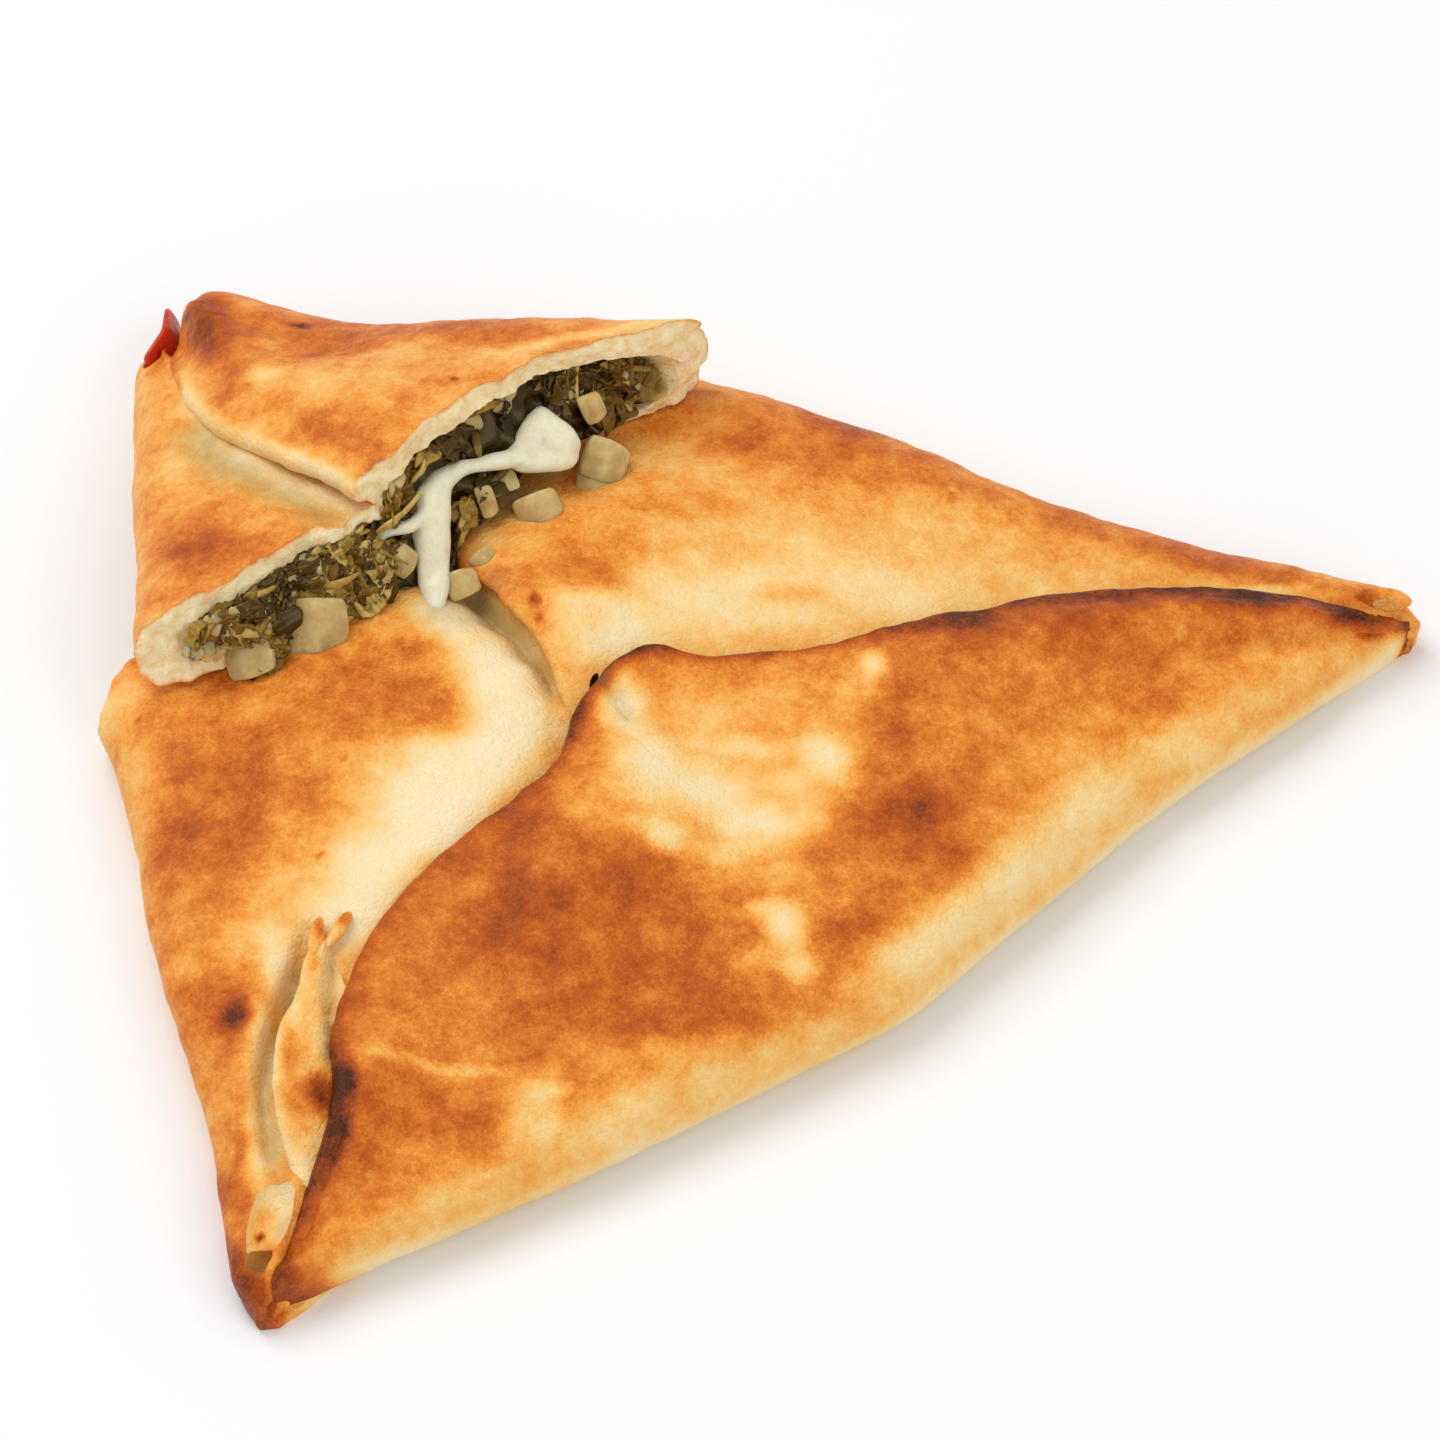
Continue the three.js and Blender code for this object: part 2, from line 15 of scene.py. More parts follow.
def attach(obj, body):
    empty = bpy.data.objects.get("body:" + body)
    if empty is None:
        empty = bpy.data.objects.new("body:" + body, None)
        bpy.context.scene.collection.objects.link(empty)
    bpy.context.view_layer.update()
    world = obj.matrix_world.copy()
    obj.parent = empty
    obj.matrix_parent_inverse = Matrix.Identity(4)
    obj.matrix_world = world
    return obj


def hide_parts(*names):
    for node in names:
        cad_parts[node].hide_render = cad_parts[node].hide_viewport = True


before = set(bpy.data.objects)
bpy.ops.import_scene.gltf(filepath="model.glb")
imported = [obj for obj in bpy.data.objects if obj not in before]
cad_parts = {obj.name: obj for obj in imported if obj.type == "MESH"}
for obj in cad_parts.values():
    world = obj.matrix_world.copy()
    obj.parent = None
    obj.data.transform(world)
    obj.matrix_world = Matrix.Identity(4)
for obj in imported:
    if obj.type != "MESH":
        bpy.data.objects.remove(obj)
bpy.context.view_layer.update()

bl_info = {
    "name": "Torn manakish",
    "version": (1, 0, 0),
    "blender": (4, 5, 0),
    "location": "View3D > Sidebar > Manakish",
    "description": "Builds the dough, the filling and the stage of a manakish with a torn-off corner",
    "category": "Object",
}

# ---- Dimensions shared with the CAD part, in millimetres -----------------------------------------
MM = 0.001
FINE = 1.0  # share of the full number of faces
DOUGH = 4.6  # thickness of one layer of dough
SIDE_WALL = 3.5  # how much thicker the folded sides are
GAP = 0.35  # air between pieces that touch
SIDE_ROUND = 17  # how far in from the side a flap reaches its full height
SIDE_BULGE = 6.5  # height at which the side stands out furthest
FOOT_INSET = 3.5
LIFT = 16  # height of the torn corner's underside at its tear
THIN_TOP = {"corner_back": 0.9, "corner_left": 1.2}  # how far a pocket is moved up in its flap
PIE_CENTRE = np.array([7.16, -18.93, 0.0])
CORNER_TIP = (-93, 77)

FRONT_FLAP = {
    "outer": [
        (-69, -118, 8), (-47, -107, 13), (-17, -91, 16), (13, -73, 17), (29, -63, 17),
        (45, -47, 17), (61, -31, 16), (77, -16, 14), (93, -3, 12), (112, 13, 8),
    ],
    "edge": [
        (-67, -117, 7), (-62, -101, 11.5), (-58, -86, 17), (-58.2, -75, 18.5), (-53, -56, 18.5),
        (-41, -40, 20), (-27, -28, 22), (-20.5, -13, 24.5), (-12, -4.5, 26), (-2, -5.5, 25.5),
        (10, -4, 24), (28, 2, 22.5), (50, 10, 20), (77, 14.5, 17), (95, 14.5, 14), (111, 15, 9),
    ],
    "lip": 2.3, "recess": 2.5, "crown": 1.5, "fray": 0.45,
}
BACK_FLAP = {
    "outer": [
        (114, 18, 9), (106, 22, 11), (94, 26, 12), (78, 30, 13), (62, 36, 14.5), (46, 43, 16),
        (30, 52, 16.5), (13, 60, 16), (-2, 66, 15), (-18, 73, 12), (-36, 82, 9),
    ],
    "edge": [
        (111, 13, 7), (92, 6, 8), (62, -4, 11), (30, -14, 15), (4, -24, 17), (-14, -24, 18),
        (-23, -15, 19.5), (-29, 0, 21), (-36.6, 11.5, 20), (-50, 30, 13.5), (-68, 52, 11),
    ],
    "lip": 1.4, "recess": 4.2, "ledge": (9, 8), "crown": 1.0, "fray": 0.7,
}
LEFT_FLAP = {
    "outer": [
        (-108, 24, 9), (-102, 8, 12), (-99.5, -6, 14), (-95.5, -16, 15.5), (-92.5, -27, 16),
        (-89, -44, 16), (-85, -60, 15), (-79, -78, 13), (-75, -96, 11), (-71, -118, 8),
    ],
    "edge": [
        (-80, 40, 9), (-62, 31, 12), (-46, 23, 16), (-33, 13, 17.6), (-25.8, 2, 18.2), (-20.8, -12, 18.2),
        (-24, -32, 16), (-40, -56, 12), (-50, -88, 7), (-63, -117, 5),
    ],
    "lip": 2.2, "recess": 2, "ledge": (12, 2.2), "under": 12, "crown": 2.5, "fray": 0.3,
    "bumps": [(-42, 14, 5, -2.2), (-36.5, 7.5, 4.4, -2.2), (-31.5, 0, 3.6, -1.8), (-27, -8, 3, -1.4)],
}
TONGUE = {
    "outer": [
        (-58.8, -57, 17.6), (-57.4, -62, 17.2), (-54.6, -68, 16.8), (-53, -76, 16), (-52.6, -85, 14),
        (-55, -94, 11.5), (-59, -102, 8.5),
    ],
    "edge": [
        (-61.7, -57, 18.8), (-63.4, -64, 18.4), (-65.6, -73, 17.8), (-66.8, -80.6, 16.8), (-66.4, -87, 15),
        (-65.2, -93, 13), (-63, -99.5, 11),
    ],
    "lip": 1.3, "recess": 1.2, "crown": 0.2, "fray": 0.3, "least": 3, "shoulder": 0.15,
}
CORNER_BACK = {
    "outer": [
        (-89, 79, 16), (-83, 80, 21), (-72, 77, 19.5), (-56, 71, 19), (-38, 67.5, 20.5),
        (-18, 64.5, 21.5), (0, 61, 21), (14, 57, 19),
    ],
    "edge": [
        (-92.5, 68, 12.5), (-90, 57, 17), (-86, 47, 18.6), (-79, 36.5, 20), (-67, 26.5, 20.8),
        (-54, 13.5, 20.3), (-46, 2, 18), (-38, -10, 17),
    ],
    "lip": 2.5, "recess": 3.6, "crown": 2.2, "fray": 0.5,
}
CORNER_LEFT = {
    "outer": [
        (-90.5, -22, 13), (-92, -8, 14), (-93, 8, 15.5), (-94.5, 28, 16), (-96.5, 50, 15), (-98, 71, 12),
    ],
    "edge": [
        (-34, -12, 15), (-44, 6, 15), (-55, 24, 14.5), (-67, 39, 13.5), (-78, 54, 12), (-90, 74, 10),
    ],
    "lip": 2, "recess": -3, "under": 8, "crown": 2, "fray": 0.3,
    "bumps": [(-88, 44, 6, -1), (-81, 34, 6.5, -1.2), (-71, 25, 6, -1.2), (-61, 16, 5, -1)],
}
FLAPS = {
    "front": FRONT_FLAP, "back": BACK_FLAP, "left": LEFT_FLAP, "tongue": TONGUE,
    "corner_back": CORNER_BACK, "corner_left": CORNER_LEFT, "tip": LEFT_FLAP, "gap": BACK_FLAP,
}
BODY_TEAR = {
    "line": [(-99, -14), (-97, -4), (-88, 6), (-72, 21), (-56, 35), (-36, 52), (-16, 70)],
    "slope": -0.1, "ragged": 0.8, "side": -1,
}
CORNER_TEAR = {
    "line": [(-98, -11), (-78, -6), (-56, 7.5), (-38, 25), (-20, 40), (-8, 51), (-3, 63)],
    "slope": 0.34, "ragged": 0.75, "side": 1,
}
UNDERCUT = (0.3, 7, 21)  # the corner's lower layer stands back beyond a place, by how far, below a height
# How far the filling stands out of the torn corner and how much it slopes, and from which share of the
# tear it draws back, to where
FILLING_FACE = {"shift": 9, "lean": 0.75, "closing": 0.75, "shut": -4}
# Greens that spill over the corner's lower edge: (flap, share of its length, how far aside)
SPILL = [(CORNER_BACK, (0.3, 0.8), -8), (CORNER_LEFT, (0.1, 0.5), 9)]
# The melted cheese as (x, y, z, radius): the blob's folds, the band and strand that hang from it, and an arc
CHEESE_LINES = [
    [(-29.2, 41.6, 29.2, 0.9), (-28, 39, 28.4, 1.9), (-25.8, 36.6, 26.8, 2.7), (-23.6, 34.6, 24.8, 2.3)],
    [(-29.4, 41, 29, 0.9), (-30, 38, 27.8, 1.9), (-31.4, 35.4, 26, 2.3), (-33.4, 33.4, 24.8, 1.7)],
    [(-22.8, 34.8, 24.6, 1.9), (-26.4, 34.6, 24.8, 2.5), (-30, 34, 24.8, 2.4), (-33.8, 32.8, 25.2, 1.5)],
    [
        (-31, 34.6, 25.8, 2), (-34.4, 32.4, 26.4, 1.5), (-38, 30.8, 27.2, 1.3), (-41.4, 29, 27.9, 1.4),
        (-44.4, 27, 27.6, 2.1), (-46, 23.8, 26.4, 3.0), (-46.3, 20.8, 24.8, 3.3), (-46, 17.8, 22.6, 2.9),
        (-45.7, 14.6, 20.2, 2.5), (-45.4, 11.6, 18.9, 2.2), (-45.3, 8.6, 18, 1.6), (-45.2, 6.6, 17.4, 0.8),
    ],
    [
        (-46, 22.5, 26.4, 1.3), (-49.2, 18.4, 26.2, 1.1), (-51.4, 17.7, 26.2, 1.1), (-53.6, 17, 25.8, 1.1),
        (-55, 15.2, 24.4, 0.9),
    ],
]
# Large pieces of onion as (middle, size, turns)
ONIONS = {
    "onion_middle": ((-64, 2, 21.2), (10.8, 9, 3.2), (0.9, 0.1, 0.08)),
    "onion_left": ((-74.4, -3, 20), (8.6, 8, 1.7), (0.85, -0.35, 0.2)),
    "onion_right": ((-18.6, 37.6, 20.4), (7.6, 7, 3), (0.75, 0.25, -0.35)),
    "onion_low": ((-29.2, 27.2, 20.4), (7.6, 5.6, 3), (0.85, 0, 0.45)),
}
RED_PEPPER = ((-92.2, 71.6, 12.6), (12.5, 6, 1.5), (0.6, 1.1, 1.0))
# Smaller bits of onion that lie among the greens
ONION_BITS = [
    ((-50.6, 14.4, 22.4), (5, 4.4, 2.4), (0.9, 0.4, 0.9)),
    ((-59, 11.2, 22), (4.6, 4, 2.2), (0.8, 0.2, 0.2)), ((-57.8, 8, 20.6), (4, 3.4, 2), (0.9, -0.2, 0.5)),
    ((-72.4, 4.4, 22.6), (3.2, 5.2, 1.8), (1.1, 0.2, 0.3)),
    ((-41, 12.6, 18.8), (5.6, 4.6, 1.8), (0.5, 0.2, 0.4)),
    ((-20.4, 34.6, 18.4), (6, 3.6, 1.8), (0.6, 0.1, -0.2)),
    ((-79.5, -2.4, 20.5), (4, 3.4, 1.6), (1, 0, 0.9)), ((-69, -0.6, 19), (4.4, 3, 1.6), (0.9, 0.5, 0.3)),
    ((-38, 17.6, 19.4), (4.4, 2.6, 1.6), (0.7, 0.1, 0.8)),
    ((-20.6, 42.4, 28), (4, 5, 1.8), (1.1, 0.3, 0.4)), ((-37.4, 26.6, 23), (3, 5.5, 1.4), (1.1, 0.2, 0.3)),
    ((-67.4, 7.4, 24.4), (8, 1.6, 1.2), (0.3, 0, 0.3)),
]
# Hollows in the dough as (name of its colours, (middle, radii, turn))
HOLLOWS = [
    ("tip", ((-67, -105.8, 11.6), (3.5, 8, 4.3), -0.27)),
    ("tip", ((-67.4, -110.8, 7.4), (2.6, 2.2, 3.8), 0)),
    # This hollow is painted darkest brown, as painted shade inside a deep gap
    ("gap", ((-19.8, -8.6, 20.6), (0.9, 2.1, 2.8), -0.3)),
    ("tip", ((107, 13.9, 12), (3.4, 0.9, 2.6), -0.1)),
]
# Lumps of dough on the flaps as (middle, radii, turn)
LUMPS = {
    "front": [((-29.6, -28.4, 22.6), (4.6, 1.6, 1.3), 0.74), ((102.5, 11, 10.8), (5, 1.7, 1.6), -0.15)],
    "back": [((106.6, 16, 11), (4.6, 1.6, 2.2), -0.12)],
    "tongue": [((-61.2, -58, 18.1), (1.3, 4, 1.1), -0.1), ((-58, -56.4, 17.6), (1.4, 3.8, 1.1), -0.45)],
}
# Swells and dips of the top as (x, y, radius, height)
RELIEF = [
    (2, -24, 15, -4.8), (-9, -15, 8, -2.6), (20, -20, 12, -1.6), (-22, -42, 14, 1.6), (-44, -70, 16, -0.8),
    (38, -24, 16, 1.4), (44, 18, 18, -1.4), (62, 0, 18, 1.0), (-72, -40, 15, 1.0), (-73, -79, 8, 2.2),
    (-71, -91, 6, 1.8), (-70.4, -100.5, 4.4, 1.6), (-62, -22, 14, 1.4), (-8, 28, 16, 0.8), (84, 3, 10, 0.6),
    (-46, -24, 10, -1.0),
]

# Bits among the greens, by the range of each of their sides in millimetres
LEAF = {"length": (5, 9.5), "width": (2.6, 5.4), "thickness": (0.8, 1.4), "curl": (0.1, 0.4), "twist": 0.4}
STALK = {"length": (6, 12), "width": (1.1, 1.8), "thickness": (0.9, 1.4), "curl": (0.1, 0.3), "twist": 0.3}
ONION_BIT = {"length": (2.4, 5), "width": (2, 4), "thickness": (0.9, 1.6)}
STALK_SHARE = 0.3
BRIGHT_SHARE = 0.08  # leaves that are much lighter than the rest
SCATTER_ALONG = (0.05, 0.9)  # shares of the tear between which the bits lie
SCATTER_FOOT = 14  # and the heights between which they do, which rise along the tear
SCATTER_TOP = (27, 37)
OFF_FACE = 9  # a bit finds the core within this distance of the plain slope
ROOM_ROUND_ONION = 0.42  # of a large piece's length is kept free of bits
STAND_OFF = 2.2  # no end of a bit stands further off the core
TRIES = 60  # for each bit

# ---- How the crust is baked ----------------------------------------------------------------------
# 0 is pale cream, 0.4 gold, 0.6 orange brown and 1 the darkest brown. Each flap or hollow has
# - base: how far it is baked where nothing else is said,
# - level: its height, as the patches' plan is drawn for an eye at the camera's angle, to which a place
#   above that level stands further back,
# - patches: laid over each other in turn, as (x, y, radius along, radius across, turn, how far baked),
# - rim: the shade along its edge, as (share of the edge, how far baked, strength), and its width,
# - side: how far baked it is low on its side and at its foot, and how far that covers the patches,
# - hides: how pale it stays under its lapped edge.
PLAN_SHEAR = 0.84
UNDER_EDGE = 0.1  # how far baked the dough is under a lapped edge
WANDER = ((1.6, 13), (0.9, 4.5))  # how far the patches' outlines wander, and over what size
BAKE = {
    "front": {
        "base": 0.6,
        "level": 17,
        "hides": 0,
        "patches": [
            (-30, -50, 24, 22, 0, 0.78), (-46, -60, 8, 14, -20, 0.6), (-40, -76, 10, 6, -10, 0.54),
            (-19, -44, 7, 12, 0, 0.7), (-20, -31, 4, 7, 20, 0.52), (-6, -67, 12, 10, 0, 0.75),
            (-24, -66, 8, 10, 0, 0.67), (21, -58, 8, 8, 0, 0.66), (24, -47, 9, 6, 0, 0.6),
            (10, -45, 9, 4, -10, 0.4), (62, 2, 24, 8, 8, 0.63), (48, 5, 12, 5, 8, 0.7),
            (88, -3, 12, 9, 25, 0.48), (29, -14, 4.5, 15, 0, 0.68), (31, -32, 8, 9, 0, 0.76),
            (30, -33, 3.6, 5, 0, 0.88), (38, -38, 6, 4, 30, 0.7), (46, -32, 8, 11, -20, 0.48),
            (42, -13, 8, 8, 0, 0.54), (55, -20, 9, 12, -20, 0.5), (58, -33, 6, 10, -40, 0.18),
            (72, -20, 16, 6, 38, 0.24), (90, -8, 10, 4, 35, 0.36), (48, -44, 16, 6, 42, 0.18),
            (32, -60, 16, 6, 38, 0.13), (10, -80, 18, 5, 28, 0.3), (-12, -91, 18, 6, 26, 0.26),
            (-10, -80, 12, 4, 20, 0.42), (-36, -106, 14, 6, 24, 0.32), (-46, -90, 10, 6, -10, 0.68),
            (-50, -98, 6, 6, 0, 0.62), (-44, -100, 8, 5, 20, 0.5), (-28, -91, 3.6, 6, 0, 0.26),
            (-8, -58, 6, 4, 0, 0.6), (7, -11, 15, 6.5, -4, 0.4), (0, -6.5, 10, 3, 0, 0.54),
            (-3, -14, 7, 3.4, -14, 0.34), (14, -13, 6, 4, 0, 0.46), (-15.5, -12, 4.2, 9, 10, 0.04),
            (-11, -23, 5, 6, 10, 0.06), (-2, -28, 12, 7.5, -14, 0.07), (7, -35, 8, 5, 0, 0.1),
            (15.5, -22, 4.6, 6, 0, 0.08), (12, -27, 4, 3, 0, 0.24), (4, -20, 7, 2.4, -10, 0.18),
            (-8, -37, 6, 3, -30, 0.22), (2, -40, 6, 2.6, 0, 0.3), (24, -2.8, 2.6, 3.6, -10, 0.12),
            (22, -8, 3, 4, 0, 0.4), (9.5, -55.5, 3.2, 5.4, 10, 0.12), (6.5, -51.5, 3.4, 2, 0, 0.26),
            (11, -63, 4, 2.6, 0, 0.18), (5, -61, 3, 3, 0, 0.42), (20, -46, 5, 3, 0, 0.66),
            (-4, -72, 7, 4, 0, 0.76), (36, -24, 4, 5, 0, 0.6), (66, -8, 8, 4, 20, 0.54),
            (78, 4, 12, 4, 8, 0.64), (99, 1, 5, 4, 20, 0.42), (-50, -79.5, 8, 1.0, -12, 0.44),
            (-36, -83, 9, 1.0, -14, 0.38), (-26, -87, 3.4, 1.5, -10, 0.22), (-26.4, -94, 1.4, 5, 0, 0.28),
            (-57, -84, 3.2, 7, 0, 1.0), (-58, -95, 2.8, 10, -6, 1.0), (-60.4, -107, 2.6, 8, -18, 0.86),
            (-66, -121, 5, 3.4, 0, 0.98), (-63, -127, 9, 6.5, 0, 0.97), (40, 8, 14, 2.8, 15, 0.92),
            (64, 12, 14, 2.8, 7, 0.92), (86, 11.5, 12, 3, -6, 0.97), (102, 8, 8, 3, -20, 1.0),
        ],
        "rim": [
            (0, 0.9, 1), (0.14, 1, 1), (0.2, 0.78, 0.8), (0.3, 0.78, 0.8), (0.38, 0.82, 0.9), (0.44, 0.9, 1),
            (0.5, 0.93, 1), (0.56, 0.9, 1), (0.66, 0.9, 1), (0.72, 0.92, 1), (0.86, 0.93, 1), (1, 0.96, 1),
        ],
        "rim_width": 2.1,
        "side": (0.17, 0.05, 0),
    },
    "back": {
        "base": 0.4,
        "level": 17,
        "hides": 1,
        "patches": [
            (10, 44, 24, 8, -22, 0.63), (45, 36, 16, 5, -28, 0.62), (78, 21, 22, 5, -20, 0.74),
            (-20, 22, 10, 8, 10, 0.62), (-10, 31, 9, 5, 0, 0.52), (0, 37, 11, 5, 0, 0.44),
            (-4, 48, 6, 6, 0, 0.5), (18, 50, 14, 3.4, -24, 0.74), (0, 12, 14, 10, 0, 0.13),
            (25, 12, 22, 7, 0, 0.16), (-16, 4, 9, 6, 0, 0.08), (-22, 10, 6, 5, 0, 0.18),
            (50, 16, 12, 6, 0, 0.3), (14, 23, 8, 4, 0, 0.22), (2, 20, 5, 4, 0, 0.4),
            (12, 12, 5, 2.6, 0, 0.4), (30, 20, 4, 4, 0, 0.36), (35, 27, 8, 4, 0, 0.4),
            (57, 22, 6, 6, 0, 0.5), (46, 29, 6, 3, 0, 0.46), (70, 16, 7, 3, -10, 0.44),
            (-20, 14.5, 6, 2.6, 0, 0.52), (-34, 16, 5, 5, 0, 0.5), (-28.5, 8, 2.6, 5, 15, 0.64),
            (-29.5, 10.5, 1.0, 1.2, 0, 0.96), (-28.2, 6, 0.7, 0.9, 0, 0.85), (82, 12.8, 14, 1.4, 0, 0.2),
            (97, 9.5, 7, 1.3, -14, 0.22), (24, 45, 10, 3, -26, 0.7), (8, 43, 6, 4, 0, 0.66),
            (31, 38, 6, 3, 0, 0.58), (37.3, 33, 1.2, 2, 0, 0.62), (37.6, 35.6, 0.7, 0.8, 0, 0.2),
            (60, 27, 6, 2.4, -20, 0.72), (103, 12, 5, 2.4, -20, 0.66),
        ],
        "rim": [
            (0, 0.75, 1), (0.15, 0.3, 0.6), (0.62, 0.2, 0.6), (0.72, 0.4, 0.7), (0.8, 0.62, 0.8),
            (0.9, 0.6, 0.5), (1, 0.5, 0.3),
        ],
        "rim_width": 1.3,
        "side": (0.5, 0.36, 0.8),
    },
    "left": {
        "base": 0.5,
        "level": 17,
        "hides": 1,
        "patches": [
            (-56, -4, 17, 10, 0, 0.6), (-76, -28, 12, 18, 12, 0.68), (-80, -58, 8, 14, 12, 0.55),
            (-76, -84, 6, 16, 10, 0.52), (-62, -46, 8, 14, -14, 0.36), (-70, -57, 9, 5, 10, 0.36),
            (-42, 9, 8, 4, 0, 0.12), (-33, -8, 6, 11, 0, 0.1), (-38, -22, 8, 8, 0, 0.08),
            (-47, -32, 8, 8, -30, 0.08), (-54, -43, 5.5, 9, -20, 0.12), (-59, -54, 4, 6, 0, 0.18),
            (-45, -9, 6, 8, 0, 0.64), (-58, -15, 8, 6, 0, 0.58), (-50, 5, 6, 2.6, -14, 0.46),
            (-77, -36, 8, 6, 0, 0.74), (-84, -40, 5, 8, 0, 0.7), (-80, -20, 7, 6, 0, 0.68),
            (-66, -29, 5, 5, 0, 0.58), (-55, -24, 4, 5, 0, 0.44), (-75, -12, 7, 2.6, 0, 0.5),
            (-93, -22, 4, 22, 5, 0.42), (-89, -12, 3, 4, 0, 0.62), (-97, -12, 5, 6, 0, 0.36),
            (-80, -68, 6, 4, 0, 0.62), (-73.5, -73, 5, 6.5, -20, 0.72), (-72.5, -73.5, 2.2, 4, -22, 1.0),
            (-70, -98, 4, 5, 0, 0.76), (-74, -107, 4, 7, 0, 0.74), (-67.5, -62, 2, 7, 0, 0.2),
            (-68.5, -82, 1.8, 13, 4, 0.2), (-59, -22, 0.5, 0.5, 0, 1.0), (-61, -41.5, 0.45, 0.45, 0, 0.95),
            (-90.5, -13.5, 0.5, 0.5, 0, 0.95), (-45, -36, 16, 6, 50, 0.03), (-56, -53, 8, 5, 60, 0.06),
            (-33, -19, 10, 6, 60, 0.04), (-36, -4, 6, 9, 25, 0.05), (-41, 6, 5, 6, 30, 0.08),
            (-45, -24, 6, 7, -30, 0.06), (-66, -67, 2.6, 9, 12, 0.12), (-69.4, -84, 2.2, 12, 2, 0.12),
            (-66.6, -98, 2.2, 8, -14, 0.14), (-75, -98, 3, 6, 0, 0.5), (-73, -107, 3.4, 4, 0, 0.74),
            (-76, -112, 3, 5, 0, 0.5), (-73.4, -117, 2.4, 4, 0, 0.8), (-70, -124, 5, 6, 0, 1.0),
            (-67, -130, 7, 5, 0, 1.0),
        ],
        "rim": [(0, 0.12, 0.4), (0.5, 0.12, 0.5), (1, 0.12, 0.5)],
        "rim_width": 3,
        "side": (0.36, 0.2, 0),
    },
    "tongue": {
        "base": 0.28,
        "level": 17,
        "hides": 0,
        "patches": [
            (-61.6, -55.2, 1.4, 2.2, 0, 0.72), (-57.2, -52.4, 1.6, 2.2, 0, 0.66),
            (-61.4, -61, 1.3, 4, 5, 0.5), (-57.6, -57, 1.2, 2, 0, 0.4), (-60.8, -71.5, 1.4, 2.4, 0, 0.36),
            (-64, -78.4, 2.3, 4.2, 0, 0.66), (-60, -87, 3.6, 4.4, 0, 0.98), (-63.4, -86.5, 1.8, 3, 0, 0.5),
            (-62.6, -93, 1.8, 4, 0, 0.42), (-62.8, -101, 2, 5, 0, 0.16), (-67, -84, 0.9, 16, 4, 0.08),
            (-65, -68, 0.8, 8, 12, 0.1),
        ],
        "rim": [(0, 0.3, 0.2), (1, 0.1, 0.6)],
        "rim_width": 0.9,
        "side": (0.2, 0.2, 0),
    },
    "tip": {
        "base": 0.08,
        "level": 17,
        "hides": 0,
        "patches": [
            # The gold patch at (-67.9, -111) darkens the hole in the tip: partly the dough's colour, partly
            # painted shade in the hole
            (-67.9, -111, 2, 2.4, 0, 0.42), (-68.6, -113.8, 0.8, 0.8, 0, 1.0),
            (-66.4, -117, 2.6, 2.4, 0, 0.5), (-67, -120.5, 3, 1.4, 0, 0.16), (107, 9.5, 4.4, 2.6, 0, 0.52),
        ],
        "rim": [(0, 0, 0), (1, 0, 0)],
        "rim_width": 1,
        "side": (0.3, 0.3, 0),
    },
    # A deep gap in the dough: its walls are painted the darkest brown all over, as painted shade inside it
    "gap": {
        "base": 1.0,
        "level": 17,
        "hides": 0,
        "patches": [],
        "rim": [(0, 0, 0), (1, 0, 0)],
        "rim_width": 1,
        "side": (1, 1, 0),
    },
    "corner_back": {
        "base": 0.48,
        "level": 30,
        "hides": 0,
        "patches": [
            (-74, 59, 14, 6, -6, 0.66), (-84, 58, 5, 9, 0, 0.78), (-38, 57, 20, 3.6, 0, 0.7),
            (-62, 56, 7, 5, 0, 0.7), (-52, 50, 9, 5, 0, 0.44), (-70, 45, 10, 6, -30, 0.42),
            (-45, 41, 8, 6, -10, 0.5), (-88, 44, 3, 9, 5, 0.34), (-79, 50, 5, 5, 0, 0.62),
            (-80, 44, 3, 4, 0, 0.68), (-66, 37.5, 6, 2.8, -35, 0.62), (-57, 31, 6, 3.6, -40, 0.62),
            # The pale spots at (-73, 48) and (-64, 46) are painted highlights where light glints on the crust
            (-85, 62.5, 4, 4, 0, 0.86), (-73, 48, 3, 2.6, 0, 0.2), (-64, 46, 3.6, 2.4, 0, 0.28),
            (-44, 47, 3, 1.6, 0, 0.62), (-49, 27, 4, 3, 30, 0.34), (-36, 50, 8, 2.6, 20, 0.4),
            (-28, 53.5, 9, 1.4, 22, 0.26), (-18, 57, 7, 1.4, 12, 0.24), (-9, 58, 5, 2, 0, 0.2),
            (-42, 34, 12, 1.8, 42, 0.26), (-26, 47, 12, 1.8, 36, 0.26), (-69, 59.6, 1.8, 0.6, -10, 1.0),
            (-42, 47.4, 0.7, 0.4, 0, 0.95), (-55, 27.5, 2.4, 1.8, 0, 0.7), (-22.5, 50, 0.4, 0.5, 0, 0.95),
            (-88.5, 62, 0.8, 1.4, 0, 1.0),
        ],
        "rim": [
            (0, 0.9, 1), (0.12, 0.6, 0.8), (0.2, 0.16, 0.9), (0.6, 0.14, 0.9), (0.75, 0.3, 0.7),
            (1, 0.4, 0.4),
        ],
        "rim_width": 1.7,
        "side": (0.5, 0.36, 0.8),
    },
    "corner_left": {
        "base": 0.46,
        "level": 30,
        "hides": 0,
        "patches": [
            (-76, 12, 12, 9, 0, 0.62), (-84, 9, 7, 7, 0, 0.72), (-82, 34, 12, 6, -40, 0.14),
            (-70, 26, 13, 5, -24, 0.12), (-57, 19, 7, 4, -20, 0.12), (-78, 0, 7, 4, 20, 0.5),
            (-87, 0, 5, 6, 0, 0.54), (-92, 40, 3, 12, 0, 0.44), (-87.5, 37.5, 2.4, 2.4, 0, 0.5),
            (-88, 28, 3.4, 4, 0, 0.3), (-68, 16, 6, 3, -20, 0.48), (-94, 8, 3, 14, 0, 0.42),
            (-88, -9, 3, 4, 0, 0.34), (-92, 55, 3, 5, 0, 0.6),
        ],
        "rim": [(0, 0.2, 0.5), (1, 0.2, 0.5)],
        "rim_width": 3,
        "side": (0.36, 0.24, 0),
    },
}
